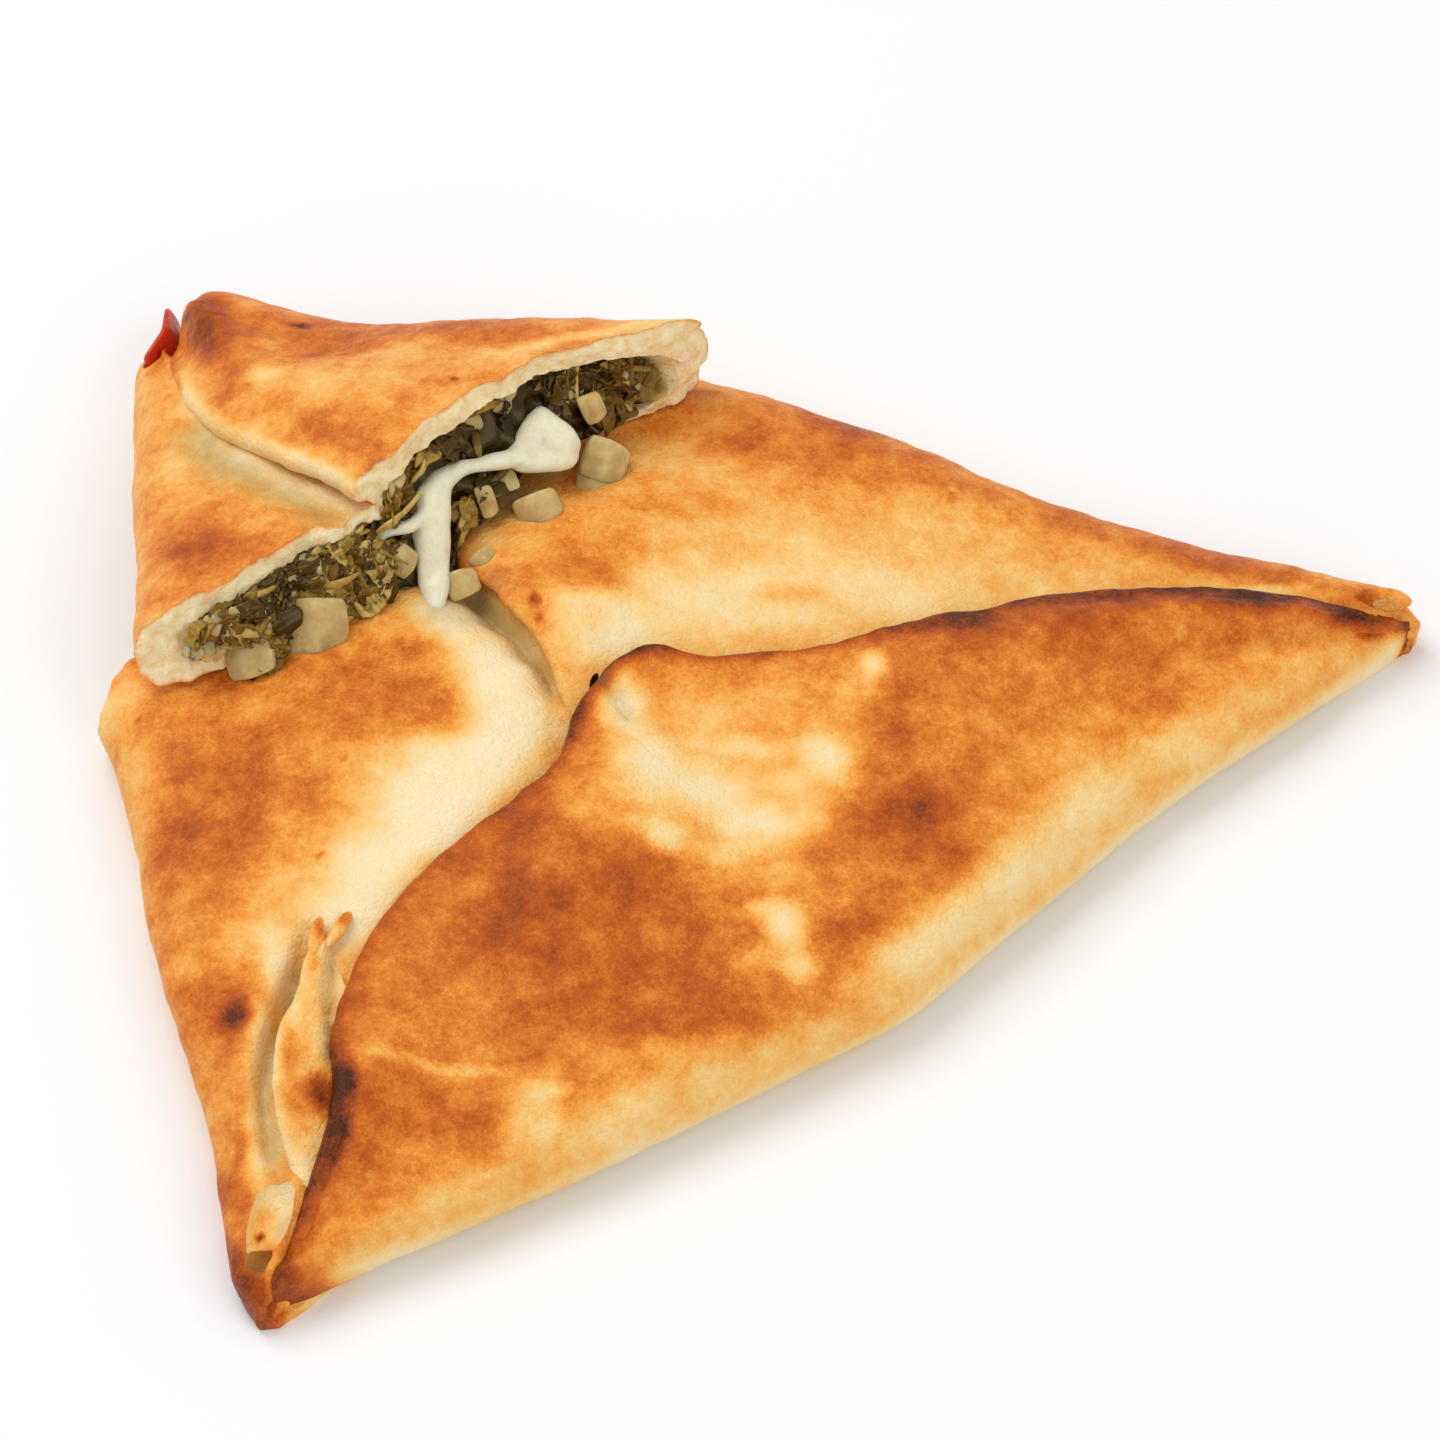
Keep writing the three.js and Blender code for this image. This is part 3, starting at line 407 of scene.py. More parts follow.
# Grooves beside a lapped edge, for each flap: the line in the plan, how wide, how deep and how dark their
# painted shade
GROOVES = {
    "left": [
        (
            [(-62.6, -54), (-64.8, -64), (-67, -73), (-68.4, -81), (-67.8, -88), (-66.6, -94), (-64, -100)],
            1.6, 4.2, 0.6,
        ),
        (
            [(-54, 34), (-45, 21), (-39.4, 13.5), (-34.2, 6.5), (-30, 0), (-26.6, -7), (-24.4, -14)],
            2, 2.6, 0.85,
        ),
        ([(-50, 24), (-43, 15.5), (-37, 8), (-32, 1.5)], 2.6, 0.6, 0.6),
    ],
    "corner_left": [([(-88, 48), (-80, 33), (-68.5, 22.5), (-56, 12)], 3.6, 1.1, 0.6)],
    "front": [
        ([(-58, -79), (-44, -82), (-33, -84.5), (-24, -89)], 1.5, -0.7, 0),
        ([(-18.4, -9.6), (-16.4, -13.6), (-13, -19.4)], 1.4, 2.2, 0.3),
    ],
    "tongue": [([(-58.4, -58), (-58.7, -69), (-58, -82)], 0.9, 1.6, 0.5)],
}
# Spots of painted shade in the recesses of each flap or hollow: (x, y, radius, how strong)
PAINTED_SHADE_SPOTS = {
    "tip": [(-67.4, -111, 2.2, 0.9), (-64.4, -105, 1.8, 0.5)],
    "left": [(-44, 8, 5, 0.5)],
    "back": [(-36, 12, 3, 0.3)],
}

# ---- The camera of the photograph ----------------------------------------------------------------
CAMERA_ELEVATION = math.radians(50)
CAMERA_DISTANCE = 941  # millimetres from the middle of the pie's plan
CAMERA_SENSOR = 36
CAMERA_LENS = CAMERA_SENSOR / 2 / math.tan(math.radians(7))  # millimetres, as the sensor's width


# ---- Numbers -------------------------------------------------------------------------------------
def mix(a, b, t):
    """The value that lies at share t of the way from a to b."""
    return a + (b - a) * t


def clamp(t, low=0.0, high=1.0):
    """The value, kept between two limits."""
    return np.minimum(high, np.maximum(low, t))


def smooth(t):
    """A share that starts and ends gently."""
    return t * t * (3 - 2 * t)


def wave(x, y, z):
    """An even, wavy value between about -1 and 1."""
    return (
        0.5 * np.sin(x * 0.61 + 1.3 * np.sin(y * 0.37))
        + 0.3 * np.sin(y * 0.97 + z * 0.71 + 2.1)
        + 0.2 * np.sin(x * 1.7 - z * 1.1 + y * 0.4)
    )


def millimetres(length):
    """A length from the settings, freed of the rounding of single precision."""
    return round(length / MM, 4)


def speckle(points, size, seed=0.0):
    """Smooth noise between -1 and 1 at each point, for features of that size."""
    return np.array([noise.noise(Vector(p) / size + Vector((seed, seed * 1.7, -seed))) for p in points])


def spline(points):
    """A smooth curve through the points, as a function from shares of its length, and its length."""
    points = np.array(points, float)
    count = len(points)
    held = np.vstack([2 * points[0] - points[1], points, 2 * points[-1] - points[-2]])
    knots = np.linalg.norm(np.diff(held, axis=0), axis=1)[:, None] ** 0.5

    def place(t):
        t = clamp(t) * (count - 1)
        i = np.minimum(t.astype(int), count - 2)
        w = (t - i)[:, None]
        p0, p1, p2, p3 = (held[i + k] for k in range(4))
        d0, d1, d2 = (knots[i + k] for k in range(3))
        m1 = d1 * ((p1 - p0) / d0 - (p2 - p0) / (d0 + d1) + (p2 - p1) / d1)
        m2 = d1 * ((p2 - p1) / d1 - (p3 - p1) / (d1 + d2) + (p3 - p2) / d2)
        return p1 + w * m1 + w**2 * (3 * (p2 - p1) - 2 * m1 - m2) + w**3 * (2 * (p1 - p2) + m1 + m2)

    shares = np.linspace(0, 1, 201)
    steps = np.linalg.norm(np.diff(place(shares), axis=0), axis=1)
    walked = np.concatenate([[0], np.cumsum(steps)])
    length = walked[-1]
    return lambda u: place(np.interp(clamp(np.atleast_1d(u)) * length, walked, shares)), length


def evenly(points, count):
    """That many places spread evenly along a line of points."""
    steps = np.linalg.norm(np.diff(points, axis=0), axis=1)
    walked = np.concatenate([[0], np.cumsum(steps)])
    at = np.linspace(0, walked[-1], count)
    return np.column_stack([np.interp(at, walked, points[:, k]) for k in range(points.shape[1])])


# ---- Meshes --------------------------------------------------------------------------------------
def loft(rings):
    """Points and faces of a skin over rings of equally many points, closed by a fan at both ends."""
    rings = np.asarray(rings)
    count, around = rings.shape[:2]
    i, j = np.meshgrid(np.arange(count - 1), np.arange(around), indexing="ij")
    a = (i * around + j).ravel()
    b = (i * around + (j + 1) % around).ravel()
    faces = np.column_stack([a, b, b + around, a + around]).tolist()
    points = rings.reshape(-1, 3)
    middles = [rings[0].mean(axis=0), rings[-1].mean(axis=0)]
    first, last = len(points), len(points) + 1
    end = (count - 1) * around
    for j in range(around):
        follow = (j + 1) % around
        faces.append([first, follow, j])
        faces.append([last, end + j, end + follow])
    return np.vstack([points, middles]), faces


def volume(points, faces):
    """The signed volume inside a closed skin."""
    total = 0.0
    for size in {len(face) for face in faces}:
        corners = points[np.array([face for face in faces if len(face) == size])]
        for k in range(1, size - 1):
            across = np.cross(corners[:, k], corners[:, k + 1])
            total += np.einsum("ij,ij->i", corners[:, 0], across).sum()
    return total / 6


def thing(name, shape):
    """An object in the scene from points in millimetres and faces, with its faces outwards."""
    points, faces = shape
    if volume(points, faces) < 0:
        faces = [face[::-1] for face in faces]
    mesh = bpy.data.meshes.new(name)
    mesh.from_pydata(points.tolist(), [], faces)
    mesh.update()
    made = bpy.data.objects.new(name, mesh)
    bpy.context.scene.collection.objects.link(made)
    return made


def read(items, name, width=1, kind=np.int32):
    """One value, or a row of them, from each item of a mesh."""
    values = np.zeros(len(items) * width, kind)
    items.foreach_get(name, values)
    return values if width == 1 else values.reshape(-1, width)


def places(made):
    """The points of an object's mesh."""
    return read(made.data.vertices, "co", 3, np.float32).astype(float)


def normals(made):
    """The direction in which the surface faces at each point."""
    return read(made.data.vertices, "normal", 3, np.float32).astype(float)


def outlines(made):
    """The points of each face of an object, by their numbers."""
    return [list(face.vertices) for face in made.data.polygons]


def move(made, points):
    """Puts the points of an object in new places."""
    made.data.vertices.foreach_set("co", points.astype(np.float32).ravel())
    made.data.update()


def apply(made):
    """Turns an object's modifiers into its mesh."""
    graph = bpy.context.evaluated_depsgraph_get()
    mesh = bpy.data.meshes.new_from_object(made.evaluated_get(graph))
    made.modifiers.clear()
    made.data = mesh
    return made


def carve(made, tools, operation="DIFFERENCE", keep=False):
    """Joins the tools to an object, takes them away from it, or keeps what they share with it."""
    for tool in tools:
        modifier = made.modifiers.new("carve", "BOOLEAN")
        modifier.operation = operation
        modifier.solver = "MANIFOLD"
        modifier.object = tool
    apply(made)
    if not keep:
        for tool in tools:
            bpy.data.objects.remove(tool)
    if not made.data.polygons:
        raise RuntimeError(f"nothing is left of {made.name}")
    return made


def largest(made):
    """Keeps the largest connected part of an object's mesh."""
    mesh = made.data
    a, b = read(mesh.edges, "vertices", 2).T
    label = np.arange(len(mesh.vertices))
    while True:
        low = np.minimum(label[a], label[b])
        lower = label.copy()
        np.minimum.at(lower, a, low)
        np.minimum.at(lower, b, low)
        lower = lower[lower]
        if (lower == label).all():
            break
        label = lower
    chosen = np.bincount(label).argmax()
    keep_only(made, label == chosen)
    return made


def keep_only(made, wanted):
    """Removes the points that aren't wanted, and their faces."""
    mesh = made.data
    points = places(made)
    new_index = np.cumsum(wanted) - 1
    faces = [[int(new_index[v]) for v in face.vertices] for face in mesh.polygons if wanted[face.vertices[0]]]
    mesh = bpy.data.meshes.new(made.name)
    mesh.from_pydata(points[wanted].tolist(), [], faces)
    mesh.update()
    made.data = mesh


def surface(made):
    """A tree for finding the nearest place on an object."""
    return BVHTree.FromPolygons([tuple(p) for p in places(made)], outlines(made))


def distance(tree, points):
    """How far each point is from a surface."""
    return np.array([tree.find_nearest(Vector(p))[3] for p in points])


def inside(tree, point):
    """Whether a point lies within a closed surface."""
    nearest, normal, _, _ = tree.find_nearest(point)
    return (point - nearest).dot(normal) < 0


def add_value(made, name, values, domain="POINT"):
    """One number for each point or corner of a face, for the material to read."""
    attribute = made.data.attributes.new(name, "FLOAT", domain)
    attribute.data.foreach_set("value", np.asarray(values, np.float32))


def finish_piece(made, node, finish, sharp=50):
    """Moves a piece from the pie's plan to the part's frame, and lets it stand for a CAD node."""
    move(made, (places(made) - PIE_CENTRE) * MM)
    made.data.shade_smooth()
    made.data.set_sharp_from_angle(angle=math.radians(sharp))
    made.data.materials.clear()
    made.data.materials.append(finish)
    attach(made, "root")
    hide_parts(node)
    return made


# ---- Flaps and tears, as in the CAD part ---------------------------------------------------------
def relief(x, y, bumps):
    """How high the swells and dips are at each place in the plan."""
    return sum(h * np.exp(-((x - cx) ** 2 + (y - cy) ** 2) / r**2) for cx, cy, r, h in bumps)


def section(flap, length, shoulder, lip_height, inset, count):
    """One cross-section of a flap as (distance in from the side, height), with count points on top."""
    hollow = inset > 0
    top = lip_height - inset
    end = max(length - inset, inset + flap.get("least", SIDE_WALL + 3))
    if hollow:
        end += flap.get("under", 0)
    lip = min(flap["lip"], (top - inset) * 0.3)
    floor = max(top - 2 * lip - 1.6, inset + 1)
    wall = end if hollow else max(end - min(flap["recess"], length * 0.25), inset + 2)
    start = inset + SIDE_WALL if hollow else inset
    foot = start + min(FOOT_INSET, length * 0.2)
    # The underside and the wall below the lip, with a ledge where another flap lies on it
    points = [(foot, inset), (mix(foot, wall, 0.5), inset)]
    if "ledge" in flap and not hollow:
        shelf = max(top - flap["ledge"][1], inset + 1)
        reach = end + min(flap["ledge"][0], length * 0.25)
        points += [(reach, inset), (reach, shelf - 0.6), (wall + 0.6, shelf)]
    else:
        points += [(wall, inset), (wall, mix(inset, floor, 0.6)), (wall, floor)]
    # The lip, the crowned top and the side, which bulges over its foot
    angle = np.linspace(0 if hollow else -1, 0.66, 3 if hollow else 12) * (math.pi / 2)
    lip_line = np.column_stack([end - lip + lip * np.cos(angle), top - lip + lip * np.sin(angle)])
    side = min(SIDE_ROUND, length * flap.get("shoulder", 0.42))
    bulge = min(SIDE_BULGE, shoulder * 0.5)
    behind_lip = end - lip * 1.8
    s = mix(behind_lip, start, np.linspace(0, 1, 4 * count) ** 0.85)
    flat = clamp((s - side) / max(behind_lip - side, 1))
    rise = clamp((s - start) / (side - inset * 0.5))
    height = mix(shoulder, lip_height, smooth(flat)) + flap["crown"] * 4 * flat * (1 - flat)
    z = np.maximum(mix(bulge, height - inset, np.sqrt(1 - (1 - rise) ** 2.4)), inset + 0.5)
    last = (start + 0.25 * (foot - start), mix(bulge, inset, 0.6))
    upper = evenly(np.vstack([lip_line, np.column_stack([s, z]), [last]]), count)
    return np.vstack([points, upper])


def grooved(name, x, y):
    """How deep the grooves of a flap are at each place in the plan."""
    depth = np.zeros(len(x))
    for line, width, most, _ in GROOVES.get(name, []):
        off, place = nearest_on([(*at, 0) for at in line], np.column_stack([x, y, x]))
        fade = clamp(6 * place) * clamp(6 * (1 - place))
        depth += most * fade * np.exp(-((off / width) ** 2))
    return depth


def flap_shape(flap, along=40, count=20, inset=0.0, span=(0, 1), lift=None, name=""):
    """Points and faces of a flap between its outer line and its edge, with round ends."""
    shares = np.linspace(*span, along + 1)
    outer = spline(flap["outer"])[0](shares)
    edge_line, edge_length = spline(flap["edge"])
    edge = edge_line(shares)
    bumps = RELIEF + flap.get("bumps", [])
    rings = []
    for i in range(along + 1):
        reach = edge[i, :2] - outer[i, :2]
        length = np.linalg.norm(reach)
        direction = reach / length
        ends = min(i, along - i) / 2 * 40 / max(along, 40)
        full = 1 if ends >= 1 else math.sqrt(1 - (1 - max(ends, 0.06)) ** 2)
        fray = flap["fray"] * min(1, ends / 4) if inset == 0 else 0
        length += fray * ragged(shares[i] * edge_length)
        line = section(flap, length, outer[i, 2], edge[i, 2], inset, count)
        x = outer[i, 0] + direction[0] * line[:, 0]
        y = outer[i, 1] + direction[1] * line[:, 0]
        z = line[:, 1] + clamp((line[:, 1] - 8) / 6) * (relief(x, y, bumps) - grooved(name, x, y))
        middle = x.mean(), y.mean()
        x, y = mix(middle[0], x, full), mix(middle[1], y, full)
        z = mix(inset, z, 0.45 + 0.55 * full)
        if lift:
            z = z + lift(x, y)
        rings.append(np.column_stack([x, y, z]))
    return loft(rings)


def ragged(along):
    """How an edge wanders, at a place along it."""
    at = Vector((along, 3.7, 1.3))
    return noise.noise(at / 9) * 1.4 + noise.noise(at / 3.1) * 0.8


TEAR_REACH = 120  # how far the block goes away from the tear
TEAR_MARGIN = 30  # and past both of its ends
TEAR_STEP = 0.6  # size of its faces


def tear_shape(tear, shift=0.0, lumps=1.0, lean=None, undercut=(0, 0, 0), closing=1.0, shut=0.0, fine=1.0):
    """A block that takes away all beyond a tear, with a ragged face like crumb."""
    lean = tear["slope"] if lean is None else lean
    line, length = spline([(x, y, 0) for x, y in tear["line"]])
    steps = int((length + 2 * TEAR_MARGIN) / TEAR_STEP * fine)
    across = np.linspace(-TEAR_MARGIN, length + TEAR_MARGIN, steps)
    height = np.concatenate([[-10, 0], np.arange(1, 42, TEAR_STEP / fine), [60]])
    on = clamp(across / length)
    at = line(on)
    ahead = line(on + 0.002) - line(on - 0.002)
    ahead /= np.linalg.norm(ahead, axis=1)[:, None]
    rings = []
    for a, share, place, tangent in zip(across, on, at, ahead):
        over = a - share * length
        away = np.array([tangent[1], -tangent[0], 0]) * tear["side"]
        opened = 1 - clamp((share - closing) / (1.001 - closing))
        back = opened * undercut[1] * clamp((share - undercut[0]) * 8) * clamp((undercut[2] - height) / 3)
        rough = tear["ragged"] * lumps * wave(a * 0.9, height * 1.3, a * 0.35)
        spots = [Vector((a, z, 7.3)) for z in height]
        rough = rough + [0.55 * lumps * noise.noise(p / 3.4) + 0.35 * noise.noise(p / 1.1) for p in spots]
        d = mix(shut, shift, opened) + rough - lean * opened * np.maximum(height - 8, 0) - back
        base = place + tangent * over
        face = base + away * d[:, None] + np.array([0, 0, 1]) * height[:, None]
        far = [base + away * TEAR_REACH + (0, 0, z) for z in (height[-1], height[0])]
        rings.append(np.vstack([face, far]))
    return loft(rings)


TEAR_START = np.array(CORNER_TEAR["line"][0])
TEAR_END = np.array(CORNER_TEAR["line"][5])
TOWARD_TEAR = np.array([(TEAR_END - TEAR_START)[1], -(TEAR_END - TEAR_START)[0]])
TOWARD_TEAR = TOWARD_TEAR / np.linalg.norm(TOWARD_TEAR)


def from_tip(x, y):
    """How far a place is from the corner's tip, straight towards its tear."""
    return (x - CORNER_TIP[0]) * TOWARD_TEAR[0] + (y - CORNER_TIP[1]) * TOWARD_TEAR[1]


CORNER_DEPTH = from_tip(*TEAR_START)


def corner_lift(x, y):
    """How high the torn corner is lifted: it rests on its tip and on the body at its tear."""
    return LIFT * clamp((from_tip(x, y) - 4) / (CORNER_DEPTH - 4))


def ball_shape(centre, radii, turn, detail=18):
    """A rounded lump."""
    angle = np.linspace(0, 2 * math.pi, 2 * detail, endpoint=False)
    rings = []
    for polar in np.linspace(0.08, math.pi - 0.08, detail):
        x = np.sin(polar) * np.cos(angle)
        y = np.sin(polar) * np.sin(angle)
        rings.append(np.column_stack([x, y, np.full(len(angle), math.cos(polar))]))
    points, faces = loft(rings)
    spin = np.array(Matrix.Rotation(turn, 3, "Z"))
    return (points * radii) @ spin.T + centre, faces


# ---- The dough -----------------------------------------------------------------------------------
def wander(values, points, seeds):
    """Values in the plan, moved about a little, so that no patch keeps an even outline."""
    for (far, size), seed in zip(WANDER, seeds):
        values = values + far * speckle(points, size, seed)
    return values


def baked(style, points, edge, outer):
    """How far the crust is baked at each point of one flap."""
    z = points[:, 2]
    x = wander(points[:, 0], points, (3.1, 5.9))
    y = wander(points[:, 1] + PLAN_SHEAR * (z - style["level"]), points, (9.4, 7.7))
    low, foot, over = style["side"]
    side_shade = mix(foot, low, clamp(z / 8))
    from_side = nearest_on(outer, points)[0]
    at_side = smooth(clamp((13 - z) / 9)) * np.exp(-((from_side / 16) ** 2))
    value = mix(style["base"] + 0.07 * speckle(points, 9, 2.2), side_shade, at_side)
    for cx, cy, rx, ry, turn, shade in style["patches"]:
        c = math.cos(math.radians(turn))
        s = math.sin(math.radians(turn))
        u = ((x - cx) * c + (y - cy) * s) / rx
        v = (-(x - cx) * s + (y - cy) * c) / ry
        value = mix(value, shade, 0.92 * np.exp(-((u * u + v * v) ** 1.2)))
    value = mix(value, side_shade, over * at_side)
    off, place = nearest_on(edge, points)
    shares, shades, strengths = (np.array(column) for column in zip(*style["rim"]))
    share = np.interp(place, shares, strengths) * np.exp(-((off / style["rim_width"]) ** 2))
    value = mix(value, np.interp(place, shares, shades), share)
    along = np.linspace(0, 1, 80)
    edge_top = np.interp(place, along, spline(edge)[0](along)[:, 2])
    hidden = clamp((edge_top - z - 4.4) / 1.5) * clamp((from_side - 8) / 4) * clamp((13 - off) / 3)
    return mix(value, UNDER_EDGE, hidden * style["hides"])


def nearest_on(line, points):
    """The distance in the plan from each point to a curve, and the place on the curve."""
    shares = np.linspace(0, 1, 100)
    along = spline(line)[0](shares)[:, :2]
    apart = np.full(len(points), np.inf)
    place = np.zeros(len(points))
    for k, step in enumerate(np.diff(along, axis=0)):
        reach = points[:, :2] - along[k]
        t = clamp(reach @ step / (step @ step))
        off = np.linalg.norm(reach - t[:, None] * step, axis=1)
        closer = off < apart
        apart[closer] = off[closer]
        place[closer] = mix(shares[k], shares[k + 1], t[closer])
    return apart, place


def painted_recess_shade(name, points):
    """How strongly painted shade darkens the dough at each point, beside a lapped edge and in its recesses.
    """
    value = np.zeros(len(points))
    for line, width, _, shaded in GROOVES.get(name, []):
        off, place = nearest_on([(*at, 0) for at in line], points)
        fade = clamp(6 * place) * clamp(6 * (1 - place))
        value = np.maximum(value, shaded * fade * np.exp(-((off / width) ** 2)))
    for x, y, radius, shaded in PAINTED_SHADE_SPOTS.get(name, []):
        away = (points[:, 0] - x) ** 2 + (points[:, 1] - y) ** 2
        value = np.maximum(value, shaded * np.exp(-away / radius**2))
    return value


def colour_dough(made, skins):
    """Writes how far the corners of each face are baked and darkened by painted shade, and where the torn
    crumb shows.

    A skin is (flap's name, tree). A face takes all its colours from the one skin that it lies on.
    """
    points = places(made)
    apart = np.array([distance(tree, points) for _, tree in skins])
    mesh = made.data
    corners = read(mesh.loops, "vertex_index")
    starts = read(mesh.polygons, "loop_start")
    sizes = read(mesh.polygons, "loop_total")
    owner = np.repeat(np.add.reduceat(apart[:, corners], starts, axis=1).argmin(axis=0), sizes)
    bake = np.zeros(len(corners))
    stain = np.zeros(len(corners))
    for k, (name, _) in enumerate(skins):
        mine = owner == k
        if mine.any():
            used, back = np.unique(corners[mine], return_inverse=True)
            flap = FLAPS[name]
            bake[mine] = baked(BAKE[name], points[used], flap["edge"], flap["outer"])[back]
            stain[mine] = painted_recess_shade(name, points[used])[back]
    bare = clamp((apart.min(axis=0) - 0.1) / 0.35)
    add_value(made, "crumb", bare)
    add_value(made, "bake", bake, "CORNER")
    add_value(made, "stain", stain, "CORNER")
    return bare


def crust_relief(points, strength):
    """Small bumps and wrinkles of the crust, in millimetres."""
    return strength * (
        0.55 * speckle(points, 16, 1.3) + 0.3 * speckle(points, 6.5, 4.1) + 0.16 * speckle(points, 2.6, 8.7)
    )


def porous(points):
    """The pores of torn crumb, in millimetres."""
    return 0.22 * speckle(points, 1.5, 2.7) + 0.22 * speckle(points, 0.8, 6.3)


def settle(made, strength, bare):
    """Gives the crust its small bumps and the bare crumb its pores, and lets the underside lie flat."""
    points = places(made)
    on_top = clamp((points[:, 2] - 1.5) / 3)
    shift = crust_relief(points, strength) * on_top * (1 - bare) + bare * porous(points)
    points = points + normals(made) * shift[:, None]
    points[:, 2] = np.maximum(points[:, 2], 0)
    move(made, points)


def pocket(settings, name, spans, extra=0.0, lift=None):
    """The room for the filling inside some flaps, a little smaller where extra is asked."""
    inset = millimetres(settings.dough) + extra
    parts = []
    for flap, (start, end) in spans.items():
        span = (start + extra * 0.03, end - extra * 0.03)
        points, faces = flap_shape(FLAPS[flap], along=24, count=16, inset=inset, span=span, lift=lift)
        parts.append(thing(name, (points + (0, 0, THIN_TOP.get(flap, 0)), faces)))
    return carve(parts[0], parts[1:], "UNION")


def body_pocket(settings, name, extra=0.0):
    """The room for the filling inside the body."""
    return pocket(settings, name, {"front": (0.2, 0.84), "back": (0.36, 1), "left": (0, 0.66)}, extra)


def corner_pocket(settings, name, extra=0.0):
    """The room for the filling inside the torn corner."""
    return pocket(settings, name, {"corner_back": (0.16, 1), "corner_left": (0, 0.72)}, extra, corner_lift)


def dough_parts(detail, lift=None):
    """The flaps and lumps of dough, each as an object, and their skins.

    Detail is {flap: (rings along it, points on its top)}.
    """
    parts, skins = [], []
    for name, (along, count) in detail.items():
        shapes = [flap_shape(FLAPS[name], int(along * FINE), int(count * FINE) + 8, lift=lift, name=name)]
        shapes += [ball_shape(*lump) for lump in LUMPS.get(name, [])]
        for shape in shapes:
            part = thing(f"part_{name}", shape)
            parts.append(part)
            skins.append((name, surface(part)))
    return parts, skins


def build_body(settings):
    """The pie without its corner: the flaps joined, and the tear, the hollows and the pocket taken out."""
    detail = {"front": (240, 110), "back": (190, 90), "left": (190, 80), "tongue": (60, 26)}
    parts, skins = dough_parts(detail)
    made = parts[0]
    made.name = "manakish_body"
    carve(made, parts[1:], "UNION")
    tear = thing("tear", tear_shape(BODY_TEAR, fine=FINE))
    hollows = [thing("hollow", ball_shape(*hollow)) for _, hollow in HOLLOWS]
    skins += [(name, surface(hollow)) for (name, _), hollow in zip(HOLLOWS, hollows)]
    carve(made, [tear, body_pocket(settings, "pocket"), *hollows])
    largest(made)
    settle(made, settings.crust_relief, colour_dough(made, skins))
    return made


def build_corner(settings):
    """The torn-off corner, with room for its filling, for the red pepper and for the body under it."""
    parts, skins = dough_parts({"corner_back": (150, 80), "corner_left": (130, 70)}, corner_lift)
    made = parts[0]
    made.name = "torn_corner"
    carve(made, parts[1:], "UNION")
    tear = thing("tear", tear_shape(CORNER_TEAR, undercut=UNDERCUT, closing=0.75, shut=2, fine=FINE))
    pepper = thing("pepper", chunk_shape(*RED_PEPPER, grow=GAP, square=0.45))
    carve(made, [tear, corner_pocket(settings, "pocket"), room_for_corner(), pepper])
    largest(made)
    settle(made, settings.crust_relief, colour_dough(made, skins))
    return made


def room_for_corner():
    """The body a little larger, which the corner and its filling keep clear of."""
    parts = [
        thing("room", flap_shape(flap, along=80, count=50, inset=-GAP - 0.5))
        for flap in (FRONT_FLAP, BACK_FLAP, LEFT_FLAP)
    ]
    carve(parts[0], parts[1:], "UNION")
    return carve(parts[0], [thing("tear", tear_shape(BODY_TEAR, shift=3, fine=0.5))])


# ---- Small pieces --------------------------------------------------------------------------------
def chunk_shape(centre, size, turns, grow=0.0, bend=0.16, detail=(18, 9), square=0.2):
    """A chunk folded along its middle, with flat faces and soft corners, thinner towards its ends.

    Detail is (rings, points on a quarter of a ring). The lower square is, the flatter are the faces.
    """
    rings = []
    angle = np.linspace(0, 2 * math.pi, 4 * detail[1], endpoint=False)
    y = np.sign(np.cos(angle)) * np.abs(np.cos(angle)) ** square
    z = np.sign(np.sin(angle)) * np.abs(np.sin(angle)) ** square
    half = [length / 2 + grow * 1.6 for length in size]
    for x in np.sin(np.linspace(-1, 1, detail[0]) * math.pi / 2) * 0.995:
        round_end = (1 - abs(x) ** 20) ** 0.5
        narrow = (1 - 0.16 * x * x - 0.1 * x) * round_end
        thin = (1 - 0.2 * x * x) * (1 - 0.25 * y * y) * round_end
        arch = bend * size[0] * (0.5 - math.sqrt(x * x + 0.02))
        across = y * half[1] * narrow
        rings.append(np.column_stack([np.full(len(y), x * half[0]), across, z * half[2] * thin + arch]))
    points, faces = loft(rings)
    spin = np.array(Euler(turns, "ZYX").to_matrix())
    return points @ spin.T + centre, faces


def melt_shape(line, per_point=8, around=24, flat=0.62):
    """A flattened cord of melted cheese along (x, y, z, radius)."""
    values = np.array(line, float)
    path, _ = spline(values[:, :3])
    count = len(line) * per_point
    shares = np.linspace(0, 1, count)
    middle = path(shares)
    steps = np.linalg.norm(np.diff(values[:, :3], axis=0), axis=1)
    walked = np.concatenate([[0], np.cumsum(steps)]) / steps.sum()
    radius = np.interp(shares, walked, values[:, 3])
    ahead = np.gradient(middle, axis=0)
    ahead /= np.linalg.norm(ahead, axis=1)[:, None]
    rings = []
    side = np.cross(ahead[0], (0, 0, 1.0))
    for i in range(count):
        side = side - ahead[i] * np.dot(side, ahead[i])
        side /= np.linalg.norm(side)
        up = np.cross(side, ahead[i])
        end = min(i, count - 1 - i) / per_point * 2
        size = radius[i] * (1 if end >= 1 else math.sqrt(1 - (1 - max(end, 0.08)) ** 2))
        angle = np.linspace(0, 2 * math.pi, around, endpoint=False)[:, None]
        ring = middle[i] + side * np.cos(angle) * size + up * np.sin(angle) * size * flat
        rings.append(ring)
    return loft(rings)


